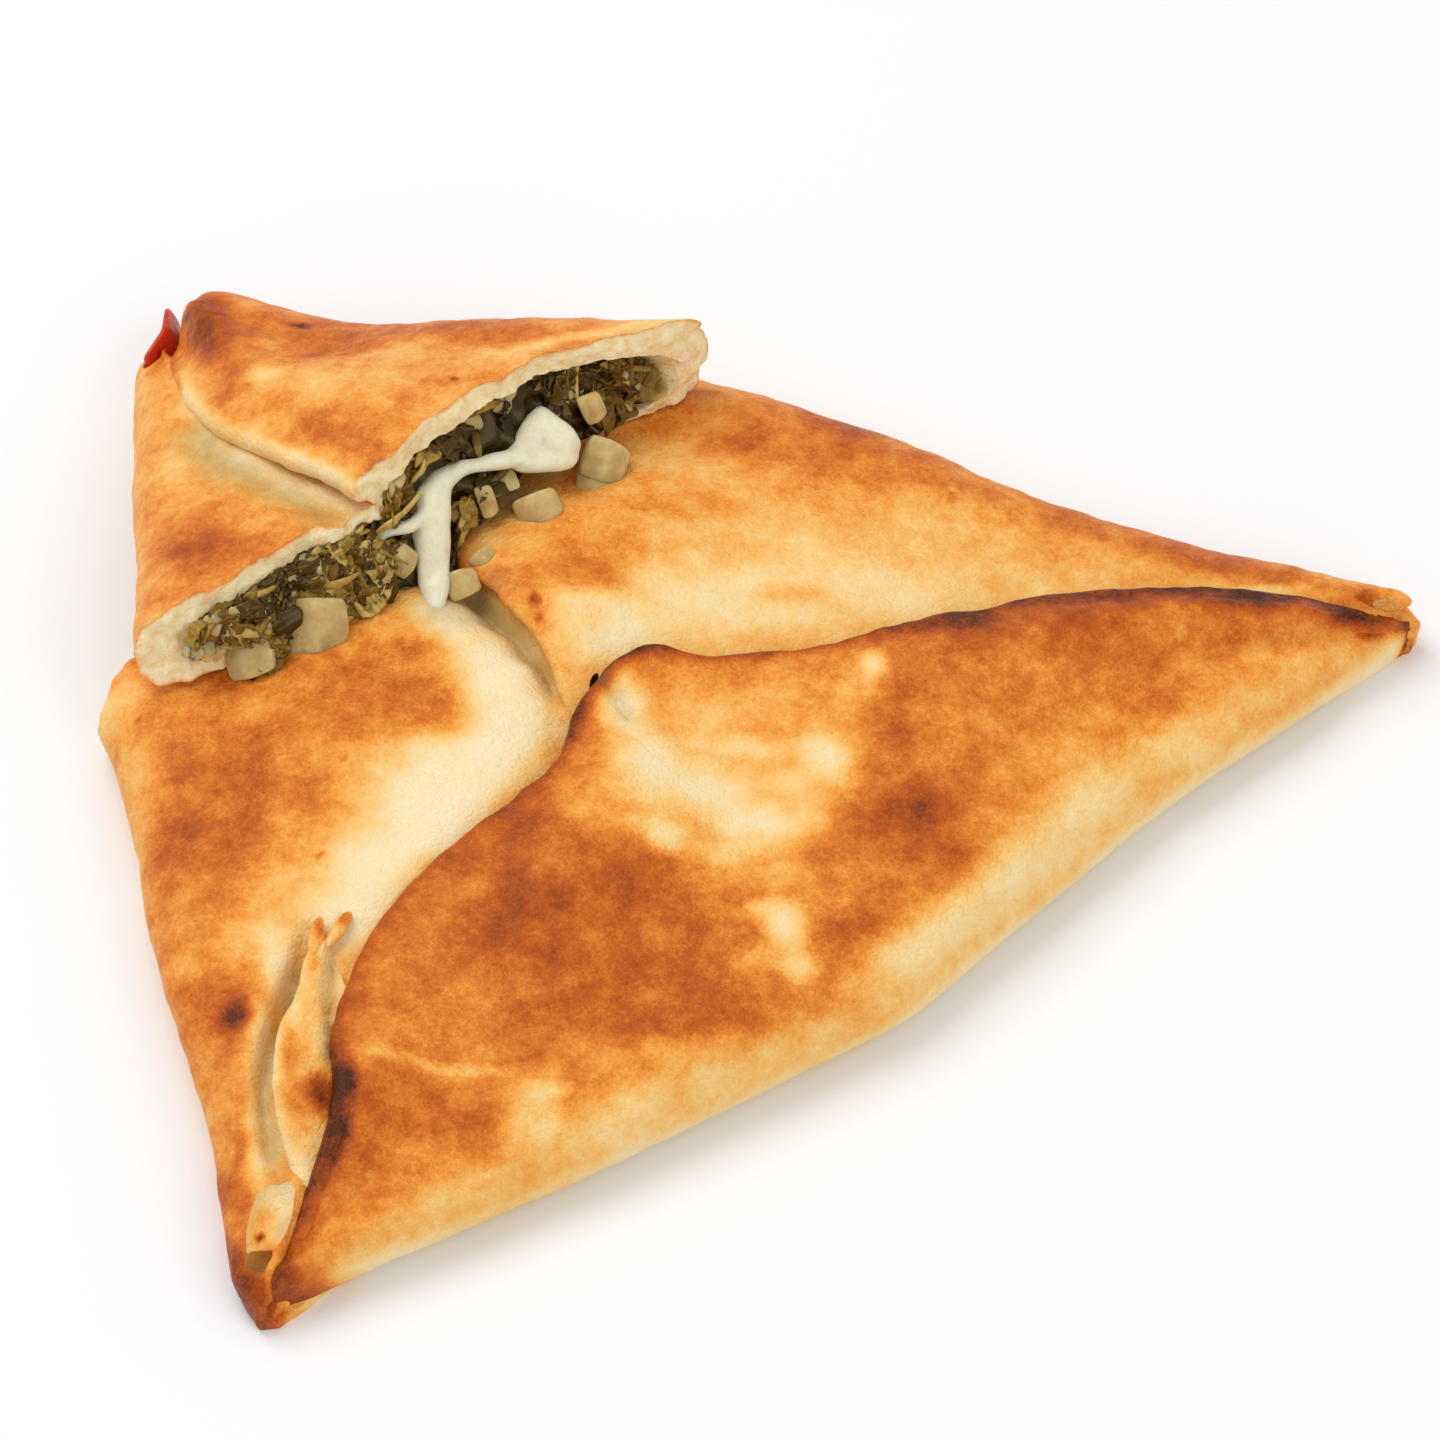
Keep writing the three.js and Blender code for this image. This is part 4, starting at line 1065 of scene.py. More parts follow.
def on_face(along, z):
    """A place on the sloping face of the corner's filling, and the directions along it and up it."""
    line, _ = spline([(x, y, 0) for x, y in CORNER_TEAR["line"]])
    at = line(along)[0]
    tangent = (line(along + 0.002) - line(along - 0.002))[0]
    tangent = tangent / np.linalg.norm(tangent)
    closing = FILLING_FACE["closing"]
    lean = FILLING_FACE["lean"]
    opened = 1 - clamp((along - closing) / (1 - closing))
    d = mix(FILLING_FACE["shut"], FILLING_FACE["shift"], opened) - lean * opened * (z - 8)
    up = Vector((-tangent[1] * lean, tangent[0] * lean, 1)).normalized()
    return Vector((at[0] + tangent[1] * d, at[1] - tangent[0] * d, z)), Vector(tangent), up


def strip_shape(length, width, thickness, curl, twist, seed, detail=(16, 12)):
    """A soft strip of cooked leaf: bent along its length, twisted, with an uneven outline."""
    rings = []
    angle = np.linspace(0, 2 * math.pi, detail[1], endpoint=False)
    for x in np.linspace(-1, 1, detail[0]):
        at = Vector((x * 1.7, seed, 0))
        end = math.sqrt(1 - min(abs(x), 0.98) ** 3)
        half = width / 2 * end * (1 + 0.5 * noise.noise(at))
        lift = curl * length * 0.5 * (0.4 - x * x) + 0.3 * width * noise.noise(at * 2.3)
        cup = 0.16 * width * np.cos(angle) ** 2
        height = lift + cup + thickness / 2 * end * np.sin(angle)
        ring = np.column_stack([np.full(detail[1], x * length / 2), half * np.cos(angle), height])
        spin = np.array(Matrix.Rotation(twist * x, 3, "X"))
        rings.append(ring @ spin.T)
    return loft(rings)


def melt(made, size, rounds):
    """Fuses the parts of a piece and rounds it."""
    remesh = made.modifiers.new("even", "REMESH")
    remesh.mode = "VOXEL"
    remesh.voxel_size = size
    relax = made.modifiers.new("relax", "SMOOTH")
    relax.iterations = rounds
    return apply(made)


def gather(name, shapes):
    """One object from many small closed shapes."""
    points, faces = [], []
    start = 0
    for some, skin in shapes:
        if volume(some, skin) < 0:
            skin = [face[::-1] for face in skin]
        points.append(some)
        faces += [[v + start for v in face] for face in skin]
        start += len(some)
    return thing(name, (np.vstack(points), faces))


def in_plan(name, made):
    """A copy of a finished piece, in millimetres in the pie's plan."""
    return thing(name, (places(made) / MM + PIE_CENTRE, outlines(made)))


def filling_tear():
    """The block beyond the sloping face of the corner's filling."""
    return thing("tear", tear_shape(CORNER_TEAR, fine=0.7, lumps=1.5, **FILLING_FACE))


def build_filling(settings):
    """The greens at the tear: a core, and cut leaves and bits of onion on its face."""
    core = carve(corner_pocket(settings, "filling_core", 2 * GAP), [filling_tear()])
    dough = millimetres(settings.dough)
    spills = []
    for flap, span, aside in SPILL:
        points, faces = flap_shape(flap, along=12, count=12, inset=dough + GAP, span=span, lift=corner_lift)
        spills.append(thing("spill", (points + (aside, -2.5, -dough), faces)))
    carve(spills[0], spills[1:], "UNION")
    carve(spills[0], [filling_tear()])
    carve(core, spills[:1], "UNION")
    solids = [in_plan("dough", bpy.data.objects[name]) for name in ("manakish_body", "torn_corner")]
    carve(core, solids, keep=True)
    largest(core)
    points = places(core)
    move(core, points - normals(core) * (0.5 + 0.5 * speckle(points, 2.5, 2.2))[:, None])
    solids.append(in_plan("cheese", bpy.data.objects["melted_cheese"]))
    strips, tones, bits = scatter(settings, surface(core), [surface(solid) for solid in solids])
    for solid in solids:
        bpy.data.objects.remove(solid)
    heap = gather("filling_leaves", strips)
    # Painted shade: leaves are painted darker the closer they lie to the core, down to 0.4 of their tone, and
    # a little lighter where they stand off it
    above = clamp(distance(surface(core), places(heap)) / 1.8)
    add_value(heap, "tone", np.repeat(tones, [len(points) for points, _ in strips]) * mix(0.4, 1.1, above))
    # The core is painted almost black: the dark colour of cooked greens, and painted shade in the gaps
    # between the leaves
    add_value(core, "tone", 0.05 + 0.12 * speckle(places(core), 2.5, 4.4))
    bits += [chunk_shape(*bit) for bit in ONION_BITS]
    return core, heap, gather("filling_onion", bits)


def draw_size(chance, kind, scale=1.0):
    """The length, width and thickness of a bit, each drawn from its range."""
    return [scale * mix(*kind[side], chance.random()) for side in ("length", "width", "thickness")]


def draw_strip(chance, kind, scale):
    """A strip of leaf or stalk, drawn from the ranges of its kind."""
    size = draw_size(chance, kind, scale)
    curl = mix(*kind["curl"], chance.random())
    twist = chance.gauss(0, kind["twist"])
    return strip_shape(*size, curl, twist, chance.random() * 90)


def draw_bit(settings, chance):
    """A bit of onion, a stalk or a leaf, whether it is onion, and how much lighter it is than its place."""
    if chance.random() < settings.onion_share:
        return chunk_shape((0, 0, 0), draw_size(chance, ONION_BIT), (0, 0, 0), detail=(12, 7)), True, 0
    if chance.random() < STALK_SHARE:
        return draw_strip(chance, STALK, settings.leaf_size), False, 0.14
    leaf = draw_strip(chance, LEAF, settings.leaf_size)
    return leaf, False, 0.5 * (chance.random() < BRIGHT_SHARE)


def scatter(settings, core, solids):
    """Strips of leaf and small bits of onion on the filling's face, clear of the solids round it."""
    chance = random.Random(settings.seed)
    strips, tones, bits = [], [], []
    wanted = settings.leaves
    for _ in range(wanted * TRIES):
        if len(strips) == wanted:
            break
        along = mix(*SCATTER_ALONG, chance.random())
        top = mix(*SCATTER_TOP, clamp(along * 1.9))
        at, tangent, up = on_face(along, mix(SCATTER_FOOT, top, chance.random()))
        out = tangent.cross(up).normalized()
        near, normal, _, _ = core.find_nearest(at)
        if (near - at).length > OFF_FACE or normal.dot(out) < 0:
            continue
        onions = ONIONS.values()
        if any((near - Vector(middle)).length < ROOM_ROUND_ONION * size[0] for middle, size, _ in onions):
            continue
        out = (out + normal).normalized()
        tangent = (tangent - out * tangent.dot(out)).normalized()
        basis = Matrix((tangent, out.cross(tangent), out)).transposed()
        tilt = chance.gauss(0, 0.3), chance.gauss(0, 0.22)
        turned = np.array(basis @ Euler((*tilt, chance.gauss(1.2, 0.9))).to_matrix())
        centre = np.array(near + out * mix(-0.7, 0.9, chance.random()))
        light = 0.37 + 0.6 * noise.noise(near / 5) + chance.gauss(0, 0.1)
        (points, faces), is_onion, lighter = draw_bit(settings, chance)
        points = points @ turned.T + centre
        ends = [Vector(p) for p in points[:: max(1, len(points) // 13)]]
        if any(inside(tree, end) for tree in solids for end in ends):
            continue
        if max(core.find_nearest(end)[3] for end in ends) > STAND_OFF:
            continue
        if is_onion:
            bits.append((points, faces))
        else:
            strips.append((points, faces))
            tones.append(clamp(light + lighter, 0.03, 0.95))
    return strips, tones, bits


def build_body_filling(settings):
    """The greens inside the body, behind its torn edge."""
    tear = thing("tear", tear_shape(BODY_TEAR, shift=1.5, lumps=1.8, fine=0.7))
    made = carve(body_pocket(settings, "filling_inside", 2 * GAP), [tear])
    largest(made)
    points = places(made)
    move(made, points - normals(made) * (0.3 + 0.3 * speckle(points, 2.5, 5.2))[:, None])
    add_value(made, "tone", 0.15 + 0.1 * speckle(places(made), 3, 1.1))
    return made


def build_cheese():
    """Melted cheese hanging from the tear."""
    parts = [thing("cheese_part", melt_shape(line)) for line in CHEESE_LINES]
    made = parts[0]
    made.name = "melted_cheese"
    carve(made, parts[1:], "UNION")
    melt(made, 0.4, 16)
    points = places(made)
    move(made, points + normals(made) * (0.35 + 0.3 * speckle(points, 3.4, 6.1))[:, None])
    return largest(made)


def build_onion(name, place):
    """A translucent piece of cooked onion."""
    made = thing(f"{name}_piece", chunk_shape(*place, detail=(36, 16)))
    points = places(made)
    move(made, points + normals(made) * (0.12 * speckle(points, 1.6, 3.3))[:, None])
    return made


def build_pepper():
    """The sliver of red pepper that shows by the corner's tip."""
    return thing("red_pepper_sliver", chunk_shape(*RED_PEPPER, detail=(26, 10), square=0.45))


# ---- Materials -----------------------------------------------------------------------------------
# The colours of each finish, as (place on its ramp, colour). The middle one can be changed in the settings,
# and the others follow it.
CRUST_STOPS = [
    (0.0, (0.91, 0.79, 0.53)), (0.12, (0.91, 0.71, 0.39)), (0.24, (0.92, 0.60, 0.22)),
    (0.36, (0.90, 0.46, 0.11)), (0.47, (0.86, 0.33, 0.05)), (0.58, (0.72, 0.20, 0.02)),
    (0.7, (0.53, 0.105, 0.009)), (0.82, (0.36, 0.062, 0.006)), (0.92, (0.19, 0.03, 0.005)),
    (1.0, (0.07, 0.014, 0.004)),
]
CRUMB_STOPS = [(0.3, (0.88, 0.62, 0.27)), (0.5, (0.95, 0.79, 0.44)), (0.7, (0.97, 0.87, 0.59))]
LEAF_STOPS = [
    (0.0, (0.014, 0.008, 0.001)), (0.2, (0.04, 0.021, 0.003)), (0.4, (0.11, 0.053, 0.005)),
    (0.6, (0.22, 0.118, 0.012)), (0.8, (0.38, 0.23, 0.04)), (1.0, (0.58, 0.41, 0.12)),
]
CHEESE_STOPS = [(0.3, (0.73, 0.67, 0.46)), (0.52, (0.80, 0.76, 0.57)), (0.8, (0.74, 0.66, 0.42))]
ONION_STOPS = [(0.3, (0.45, 0.31, 0.115)), (0.5, (0.54, 0.39, 0.16)), (0.7, (0.64, 0.50, 0.24))]
PEPPER_STOPS = [(0.3, (0.42, 0.02, 0.008)), (0.7, (0.62, 0.04, 0.015))]
FLOOR_STOPS = [(0.0, (0.88, 0.88, 0.88)), (1.0, (0.9, 0.9, 0.9))]
# Olive of the painted shade laid into the dough's crevices and recesses, where shadow falls
PAINTED_SHADE_COLOUR = (0.42, 0.29, 0.10)

CRUST_SHINE = 0.22
CRUST_SHINE_TINT = (1, 0.86, 0.62, 1)
CRUMB_ROUGHNESS = 0.85
MOIST_SHINE_TINT = (1, 0.76, 0.4, 1)
SINK_RADIUS = (0.004, 0.003, 0.0018)  # how far red, green and blue light sinks into moist food, in metres
# Moist finishes: the colours, how dry the film is and the share of light that sinks in. One with a value
# takes its colours along that value of the mesh, and the others along an even grain.
MOIST_FINISHES = {
    "Greens": {"stops": LEAF_STOPS, "dry": 0.26, "sinks_in": 0.2, "value": "tone"},
    "Cheese": {"stops": CHEESE_STOPS, "dry": 0.4, "sinks_in": 0.6},
    "Onion": {"stops": ONION_STOPS, "dry": 0.2, "sinks_in": 0.8},
    "Pepper": {"stops": PEPPER_STOPS, "dry": 0.35, "sinks_in": 0.1},
}


def main_colour(stops):
    """The middle colour of a ramp."""
    return stops[(len(stops) - 1) // 2][1]


def tinted(stops, colour):
    """The stops of a ramp, all changed in the proportion in which its middle colour is changed."""
    main = main_colour(stops)
    changed = []
    for place, shade in stops:
        parts = [round(min(1.0, part * new / old), 6) for part, new, old in zip(shade, colour, main)]
        changed.append((place, parts))
    return changed


def add(tree, kind, inputs=None, **values):
    """A node with its values, and each of its inputs linked or set."""
    made = tree.nodes.new(kind)
    for key, value in values.items():
        setattr(made, key, value)
    for key, value in (inputs or {}).items():
        if isinstance(value, bpy.types.NodeSocket):
            tree.links.new(value, made.inputs[key])
        else:
            made.inputs[key].default_value = value
    return made


def math_node(tree, operation, a, b=0.0, limit=False):
    """A sum on values or sockets, kept between 0 and 1 where limit is set."""
    return add(tree, "ShaderNodeMath", {0: a, 1: b}, operation=operation, use_clamp=limit).outputs[0]


def plus(tree, a, b, limit=False):
    return math_node(tree, "ADD", a, b, limit)


def minus(tree, a, b):
    return math_node(tree, "SUBTRACT", a, b)


def times(tree, a, b, limit=False):
    return math_node(tree, "MULTIPLY", a, b, limit)


def ramp(tree, value, stops):
    """A colour ramp from (place, colour) stops."""
    made = add(tree, "ShaderNodeValToRGB", {"Fac": value})
    elements = made.color_ramp.elements
    while len(elements) > 1:
        elements.remove(elements[-1])
    for k, (place, colour) in enumerate(stops):
        element = elements[0] if k == 0 else elements.new(place)
        element.position = place
        element.color = (*colour, 1)
    return made.outputs["Color"]


def blend(tree, share, a, b):
    """Colour a, which turns to b as the share rises."""
    made = add(tree, "ShaderNodeMix", {0: share}, data_type="RGBA")
    tree.links.new(a, made.inputs[6])
    tree.links.new(b, made.inputs[7])
    return made.outputs[2]


def grain(tree, scale, detail=3.0, rough=0.55):
    """Noise in the piece's own frame, from 0 to 1, with so many waves to a metre."""
    place = add(tree, "ShaderNodeTexCoord").outputs["Object"]
    inputs = {"Vector": place, "Scale": scale, "Detail": detail, "Roughness": rough}
    return add(tree, "ShaderNodeTexNoise", inputs).outputs["Fac"]


def centred(tree, scale, detail=3.0, rough=0.55):
    """Noise from -0.5 to 0.5."""
    return minus(tree, grain(tree, scale, detail, rough), 0.5)


def group(name, inputs, outputs):
    """A shader node group with named inputs (name, kind, starting value) and outputs (name, kind)."""
    tree = bpy.data.node_groups.new(name, "ShaderNodeTree")
    for label, kind, value in inputs:
        socket = tree.interface.new_socket(label, in_out="INPUT", socket_type=kind)
        socket.default_value = value
    for label, kind in outputs:
        tree.interface.new_socket(label, in_out="OUTPUT", socket_type=kind)
    entry = tree.nodes.new("NodeGroupInput")
    leave = tree.nodes.new("NodeGroupOutput")
    return tree, entry.outputs, leave.inputs


def crust_group(settings):
    """The baked skin, painted shade in its crevices, and the torn crumb of the dough."""
    inputs = [
        ("Bake", "NodeSocketFloat", 0.5),
        ("Crumb", "NodeSocketFloat", 0.0),
        ("Stain", "NodeSocketFloat", 0.0),
        ("Stain Color", "NodeSocketColor", (*PAINTED_SHADE_COLOUR, 1)),
        ("Mottling", "NodeSocketFloat", 1.0),
    ]
    outputs = [
        ("Color", "NodeSocketColor"), ("Roughness", "NodeSocketFloat"), ("Height", "NodeSocketFloat"),
    ]
    tree, given, out = group("Baked dough", inputs, outputs)
    # Unevenness of about 9, 4, 1.5 and 0.5 mm, and thin veins round spots of 1 mm
    patches = centred(tree, 110, 5)
    cells = centred(tree, 260, 4)
    spots = centred(tree, 650, 4, 0.6)
    dust = centred(tree, 1900, 3, 0.65)
    ridges = math_node(tree, "ABSOLUTE", centred(tree, 900))
    veins = minus(tree, math_node(tree, "MINIMUM", ridges, 0.05), 0.04)
    uneven = times(tree, patches, 0.46)
    for layer, share in ((cells, 0.32), (spots, 0.2), (dust, 0.14), (veins, 1.3)):
        uneven = plus(tree, uneven, times(tree, layer, share))
    # Pale dough is more even than baked dough
    spread = plus(tree, times(tree, given["Bake"], 2.0), 0.18, limit=True)
    uneven = times(tree, uneven, times(tree, given["Mottling"], spread))
    skin = ramp(tree, plus(tree, given["Bake"], uneven), tinted(CRUST_STOPS, settings.crust))
    # Painted shade: the olive colour laid over the skin in grooves beside lapped edges and in recesses
    shaded = times(tree, given["Stain"], plus(tree, times(tree, cells, 1.2), 1.0), limit=True)
    skin = blend(tree, shaded, skin, given["Stain Color"])
    bread = ramp(tree, grain(tree, 520, 4), tinted(CRUMB_STOPS, settings.crumb))
    tree.links.new(blend(tree, given["Crumb"], skin, bread), out["Color"])
    # The darker it is baked, the more it shines
    rough = plus(tree, times(tree, spots, 0.4), 0.56)
    rough = minus(tree, rough, times(tree, given["Bake"], 0.2))
    rough = add(tree, "ShaderNodeMix", {0: given["Crumb"], 2: rough, 3: CRUMB_ROUGHNESS})
    tree.links.new(rough.outputs[0], out["Roughness"])
    place = add(tree, "ShaderNodeTexCoord").outputs["Object"]
    crackle = add(tree, "ShaderNodeTexVoronoi", {"Vector": place, "Scale": 620.0}, feature="DISTANCE_TO_EDGE")
    cracks = times(tree, math_node(tree, "MINIMUM", crackle.outputs["Distance"], 0.2), 1.2)
    pores = times(tree, times(tree, given["Crumb"], cells), 2.0)
    height = plus(tree, times(tree, spots, 1.2), times(tree, dust, 0.8))
    height = plus(tree, plus(tree, height, pores), cracks)
    tree.links.new(height, out["Height"])


def moist_group():
    """The uneven shine and surface of moist, cooked pieces."""
    inputs = [("Dry", "NodeSocketFloat", 0.3)]
    outputs = [("Roughness", "NodeSocketFloat"), ("Height", "NodeSocketFloat")]
    tree, given, out = group("Moist surface", inputs, outputs)
    film = grain(tree, 700, 3)
    tree.links.new(times(tree, plus(tree, film, 0.3), given["Dry"]), out["Roughness"])
    tree.links.new(plus(tree, film, times(tree, grain(tree, 2600, 2), 0.3)), out["Height"])


def new_material(name):
    """A material with its node tree and its Principled BSDF."""
    made = bpy.data.materials.new(name)
    made.use_nodes = True
    tree = made.node_tree
    return made, tree, tree.nodes["Principled BSDF"]


def bump(tree, shader, height, distance, strength):
    """Lets a height show in the surface."""
    made = add(tree, "ShaderNodeBump", {"Height": height, "Distance": distance, "Strength": strength})
    tree.links.new(made.outputs["Normal"], shader.inputs["Normal"])


def crust_material(settings):
    """Baked skin with a low, warm shine, and dry crumb where it is torn."""
    made, tree, shader = new_material("Crust")
    skin = add(tree, "ShaderNodeGroup", node_tree=bpy.data.node_groups["Baked dough"])
    for socket in ("Bake", "Crumb", "Stain"):
        value = add(tree, "ShaderNodeAttribute", attribute_name=socket.lower()).outputs["Fac"]
        tree.links.new(value, skin.inputs[socket])
    skin.inputs["Stain Color"].default_value = (*settings.stain, 1)
    skin.inputs["Mottling"].default_value = settings.mottling
    tree.links.new(skin.outputs["Color"], shader.inputs["Base Color"])
    tree.links.new(skin.outputs["Roughness"], shader.inputs["Roughness"])
    shader.inputs["Specular IOR Level"].default_value = CRUST_SHINE
    shader.inputs["Specular Tint"].default_value = CRUST_SHINE_TINT
    bump(tree, shader, skin.outputs["Height"], settings.crust_bump, 0.9)
    return made


def moist_material(name, colour, depth):
    """A material for a cooked piece, with its colours under a moist film."""
    finish = MOIST_FINISHES[name]
    made, tree, shader = new_material(name)
    film = add(tree, "ShaderNodeGroup", node_tree=bpy.data.node_groups["Moist surface"])
    film.inputs["Dry"].default_value = finish["dry"]
    if "value" in finish:
        value = add(tree, "ShaderNodeAttribute", attribute_name=finish["value"]).outputs["Fac"]
        tone = plus(tree, value, times(tree, centred(tree, 800, 4), 0.35))
    else:
        tone = grain(tree, 420, 4)
    tree.links.new(ramp(tree, tone, tinted(finish["stops"], colour)), shader.inputs["Base Color"])
    tree.links.new(film.outputs["Roughness"], shader.inputs["Roughness"])
    shader.inputs["Specular Tint"].default_value = MOIST_SHINE_TINT
    shader.inputs["Subsurface Weight"].default_value = finish["sinks_in"]
    shader.inputs["Subsurface Radius"].default_value = SINK_RADIUS
    shader.inputs["Subsurface Scale"].default_value = 1.0
    bump(tree, shader, film.outputs["Height"], depth, 0.6)
    return made


def material(name, settings):
    """The material of that name, made at its first use."""
    if name in bpy.data.materials:
        return bpy.data.materials[name]
    if "Baked dough" not in bpy.data.node_groups:
        crust_group(settings)
        moist_group()
    if name == "Crust":
        return crust_material(settings)
    colours = {
        "Greens": settings.greens,
        "Cheese": settings.cheese,
        "Onion": settings.onion,
        "Pepper": settings.pepper,
    }
    return moist_material(name, colours[name], settings.moist_bump)


# ---- The stage -----------------------------------------------------------------------------------
FLOOR_HALF = 4.0
KEY_PLACE = (-0.55, 0.35, 1.15)
FILL_PLACE = (0.9, -1.1, 1.0)


def link(name, data):
    """An object in the scene that shows a mesh, a light or a camera."""
    made = bpy.data.objects.new(name, data)
    bpy.context.scene.collection.objects.link(made)
    return made


def face_along(made, direction):
    """Turns a light or a camera to look in a direction."""
    made.rotation_mode = "QUATERNION"
    made.rotation_quaternion = direction.to_track_quat("-Z", "Y")


def build_floor(settings):
    """A plain pale floor."""
    mesh = bpy.data.meshes.new("floor")
    half = FLOOR_HALF
    corners = [(-half, -half, 0), (half, -half, 0), (half, half, 0), (-half, half, 0)]
    mesh.from_pydata(corners, [], [(0, 1, 2, 3)])
    made, tree, shader = new_material("Floor")
    tint = ramp(tree, grain(tree, 3, 2), tinted(FLOOR_STOPS, settings.floor))
    tree.links.new(tint, shader.inputs["Base Color"])
    shader.inputs["Roughness"].default_value = 0.9
    mesh.materials.append(made)
    link("floor", mesh)


def build_lights(settings):
    """Two large soft lights, and an even light all round."""
    for name, place, size, power in (
        ("key_light", KEY_PLACE, settings.key_size, settings.key_light),
        ("fill_light", FILL_PLACE, settings.fill_size, settings.fill_light),
    ):
        data = bpy.data.lights.new(name, "AREA")
        data.size = size
        data.energy = power
        light = link(name, data)
        light.location = place
        face_along(light, -Vector(place))
    world = bpy.data.worlds.new("studio")
    world.use_nodes = True
    background = world.node_tree.nodes["Background"]
    background.inputs["Color"].default_value = (1, 1, 1, 1)
    background.inputs["Strength"].default_value = settings.sky_light
    bpy.context.scene.world = world


def build_camera():
    """The camera at the photograph's viewing angle."""
    data = bpy.data.cameras.new("camera")
    data.lens = CAMERA_LENS
    data.sensor_width = CAMERA_SENSOR
    camera = link("camera", data)
    target = Vector(-PIE_CENTRE) * MM
    back = Vector((0, -math.cos(CAMERA_ELEVATION), math.sin(CAMERA_ELEVATION)))
    camera.location = target + back * CAMERA_DISTANCE * MM
    face_along(camera, -back)
    bpy.context.scene.camera = camera
    bpy.context.scene.view_settings.view_transform = "Standard"


def build_stage(settings):
    """A pale floor, soft light and the camera of the photograph."""
    build_floor(settings)
    build_lights(settings)
    build_camera()


# ---- The add-on ----------------------------------------------------------------------------------
class ManakishSettings(bpy.types.PropertyGroup):
    """What can be changed before the pie is built."""

    dough: bpy.props.FloatProperty(
        name="Dough", description="Thickness of one layer of dough",
        default=DOUGH * MM, min=0.003, max=0.006, precision=4, unit="LENGTH",
    )
    crust_relief: bpy.props.FloatProperty(
        name="Crust relief", description="How strong the small bumps of the crust are",
        default=1.0, min=0, max=3, subtype="FACTOR",
    )
    mottling: bpy.props.FloatProperty(
        name="Mottling", description="How unevenly the crust is browned",
        default=1.0, min=0, max=3, subtype="FACTOR",
    )
    crust_bump: bpy.props.FloatProperty(
        name="Crust bump", description="Depth of the finest grain of the crust",
        default=0.0003, min=0, max=0.002, precision=5, unit="LENGTH",
    )
    moist_bump: bpy.props.FloatProperty(
        name="Moist bump", description="Depth of the finest grain of the filling",
        default=0.00025, min=0, max=0.002, precision=5, unit="LENGTH",
    )
    leaves: bpy.props.IntProperty(
        name="Leaves", description="How many strips of leaf lie on the filling",
        default=420, min=1, max=1500,
    )
    leaf_size: bpy.props.FloatProperty(
        name="Leaf size", description="Size of the strips of leaf against their usual size",
        default=1.0, min=0.5, max=2, subtype="FACTOR",
    )
    onion_share: bpy.props.FloatProperty(
        name="Onion share", description="Share of the bits that are onion",
        default=0.05, min=0, max=1, subtype="FACTOR",
    )
    seed: bpy.props.IntProperty(
        name="Seed", description="Which scatter of the filling is made",
        default=7, min=0,
    )
    crust: bpy.props.FloatVectorProperty(
        name="Crust", description="Colour of the crust where it is baked orange brown",
        default=main_colour(CRUST_STOPS), min=0, max=1, subtype="COLOR",
    )
    crumb: bpy.props.FloatVectorProperty(
        name="Crumb", description="Colour of the torn dough",
        default=main_colour(CRUMB_STOPS), min=0, max=1, subtype="COLOR",
    )
    # Painted shade: the olive colour laid into the dough's crevices and recesses
    stain: bpy.props.FloatVectorProperty(
        name="Stain", description="Colour of the dough that oil has soaked into",
        default=PAINTED_SHADE_COLOUR, min=0, max=1, subtype="COLOR",
    )
    greens: bpy.props.FloatVectorProperty(
        name="Greens", description="Colour of the cooked leaves",
        default=main_colour(LEAF_STOPS), min=0, max=1, subtype="COLOR",
    )
    cheese: bpy.props.FloatVectorProperty(
        name="Cheese", description="Colour of the melted cheese",
        default=main_colour(CHEESE_STOPS), min=0, max=1, subtype="COLOR",
    )
    onion: bpy.props.FloatVectorProperty(
        name="Onion", description="Colour of the cooked onion",
        default=main_colour(ONION_STOPS), min=0, max=1, subtype="COLOR",
    )
    pepper: bpy.props.FloatVectorProperty(
        name="Red pepper", description="Colour of the red pepper",
        default=main_colour(PEPPER_STOPS), min=0, max=1, subtype="COLOR",
    )
    floor: bpy.props.FloatVectorProperty(
        name="Floor", description="Colour of the surface that the pie lies on",
        default=main_colour(FLOOR_STOPS), min=0, max=1, subtype="COLOR",
    )
    key_light: bpy.props.FloatProperty(
        name="Key light", description="Power of the large light above",
        default=9.0, min=0, unit="POWER",
    )
    key_size: bpy.props.FloatProperty(
        name="Key light size", description="Width of the large light above",
        default=0.9, min=0.01, unit="LENGTH",
    )
    fill_light: bpy.props.FloatProperty(
        name="Fill light", description="Power of the light in front",
        default=8.0, min=0, unit="POWER",
    )
    fill_size: bpy.props.FloatProperty(
        name="Fill light size", description="Width of the light in front",
        default=1.4, min=0.01, unit="LENGTH",
    )
    sky_light: bpy.props.FloatProperty(
        name="Sky light", description="Strength of the even light all round",
        default=0.6, min=0,
    )


class MANAKISH_OT_body(bpy.types.Operator):
    """Build the baked body of the pie"""

    bl_idname = "manakish.body"
    bl_label = "Body"

    def execute(self, context):
        settings = context.scene.manakish
        made = build_body(settings)
        finish_piece(made, "dough_body", material("Crust", settings))
        return {"FINISHED"}


class MANAKISH_OT_corner(bpy.types.Operator):
    """Build the torn-off corner"""

    bl_idname = "manakish.corner"
    bl_label = "Torn corner"

    def execute(self, context):
        settings = context.scene.manakish
        made = build_corner(settings)
        finish_piece(made, "dough_corner", material("Crust", settings))
        return {"FINISHED"}


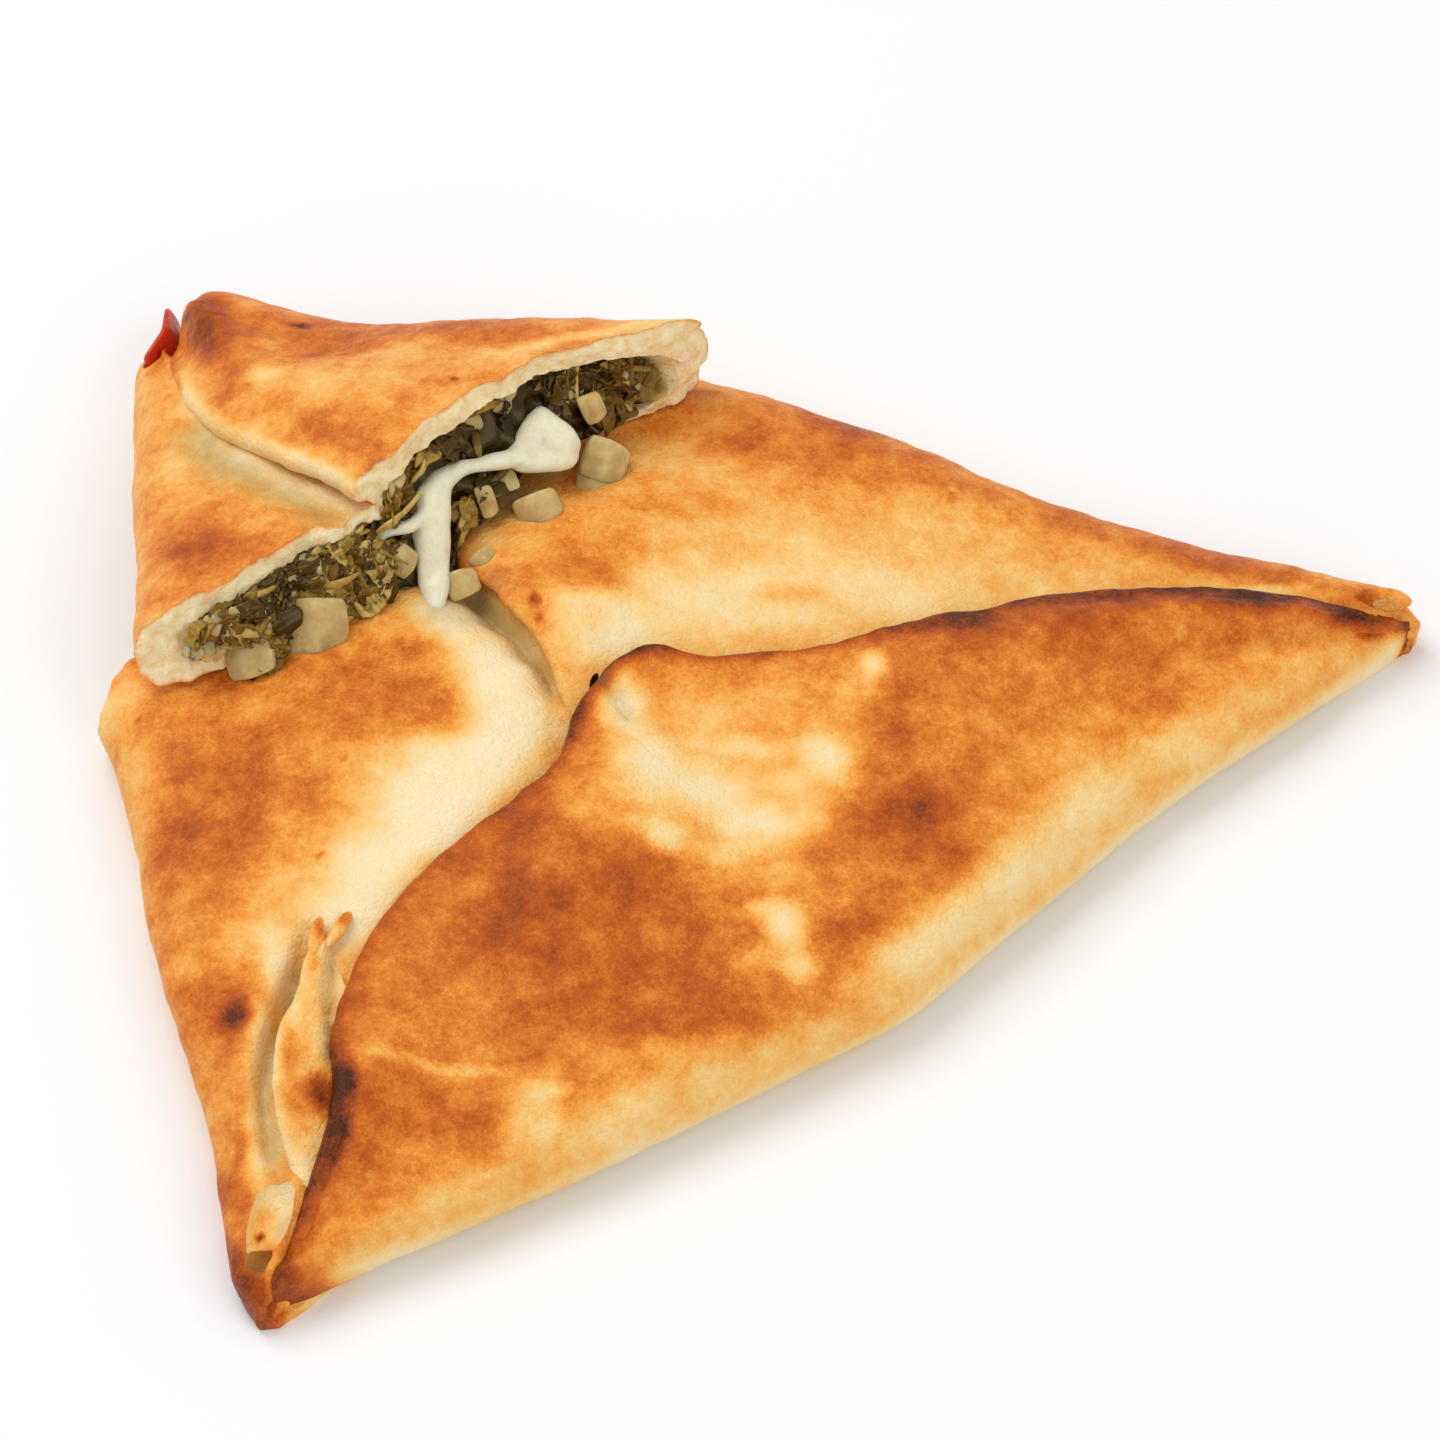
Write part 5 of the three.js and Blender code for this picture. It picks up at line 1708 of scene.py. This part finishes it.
class MANAKISH_OT_filling(bpy.types.Operator):
    """Build the chopped greens in the corner and in the body"""

    bl_idname = "manakish.filling"
    bl_label = "Filling"

    def execute(self, context):
        settings = context.scene.manakish
        greens = material("Greens", settings)
        core, heap, bits = build_filling(settings)
        finish_piece(core, "filling_corner", greens, sharp=180)
        finish_piece(heap, "filling_corner", greens, sharp=180)
        finish_piece(bits, "filling_corner", material("Onion", settings))
        finish_piece(build_body_filling(settings), "filling_body", greens)
        return {"FINISHED"}


class MANAKISH_OT_cheese(bpy.types.Operator):
    """Build the melted cheese at the tear"""

    bl_idname = "manakish.cheese"
    bl_label = "Cheese"

    def execute(self, context):
        settings = context.scene.manakish
        finish_piece(build_cheese(), "cheese", material("Cheese", settings))
        return {"FINISHED"}


class MANAKISH_OT_onion(bpy.types.Operator):
    """Build the large pieces of onion"""

    bl_idname = "manakish.onion"
    bl_label = "Onion"

    def execute(self, context):
        settings = context.scene.manakish
        for name, place in ONIONS.items():
            finish_piece(build_onion(name, place), name, material("Onion", settings))
        return {"FINISHED"}


class MANAKISH_OT_pepper(bpy.types.Operator):
    """Build the sliver of red pepper"""

    bl_idname = "manakish.pepper"
    bl_label = "Red pepper"

    def execute(self, context):
        settings = context.scene.manakish
        finish_piece(build_pepper(), "red_pepper", material("Pepper", settings))
        return {"FINISHED"}


class MANAKISH_OT_stage(bpy.types.Operator):
    """Build the floor, the lights and the camera"""

    bl_idname = "manakish.stage"
    bl_label = "Stage"

    def execute(self, context):
        build_stage(context.scene.manakish)
        return {"FINISHED"}


class MANAKISH_PT_panel(bpy.types.Panel):
    """The pieces of the pie, in the order in which they are built"""

    bl_idname = "MANAKISH_PT_panel"
    bl_label = "Manakish"
    bl_space_type = "VIEW_3D"
    bl_region_type = "UI"
    bl_category = "Manakish"

    def draw(self, context):
        settings = context.scene.manakish
        for name in settings.__annotations__:
            self.layout.prop(settings, name)
        for operator in OPERATORS:
            self.layout.operator(operator.bl_idname)


OPERATORS = (
    MANAKISH_OT_body,
    MANAKISH_OT_corner,
    MANAKISH_OT_cheese,
    MANAKISH_OT_filling,
    MANAKISH_OT_onion,
    MANAKISH_OT_pepper,
    MANAKISH_OT_stage,
)
CLASSES = (ManakishSettings, *OPERATORS, MANAKISH_PT_panel)


def register():
    for kind in CLASSES:
        bpy.utils.register_class(kind)
    bpy.types.Scene.manakish = bpy.props.PointerProperty(type=ManakishSettings)


def unregister():
    del bpy.types.Scene.manakish
    for kind in reversed(CLASSES):
        bpy.utils.unregister_class(kind)


def main():
    register()
    bpy.ops.manakish.body()
    bpy.ops.manakish.corner()
    bpy.ops.manakish.cheese()
    bpy.ops.manakish.filling()
    bpy.ops.manakish.onion()
    bpy.ops.manakish.pepper()
    bpy.ops.manakish.stage()
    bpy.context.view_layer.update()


if __name__ == "__main__":
    main()
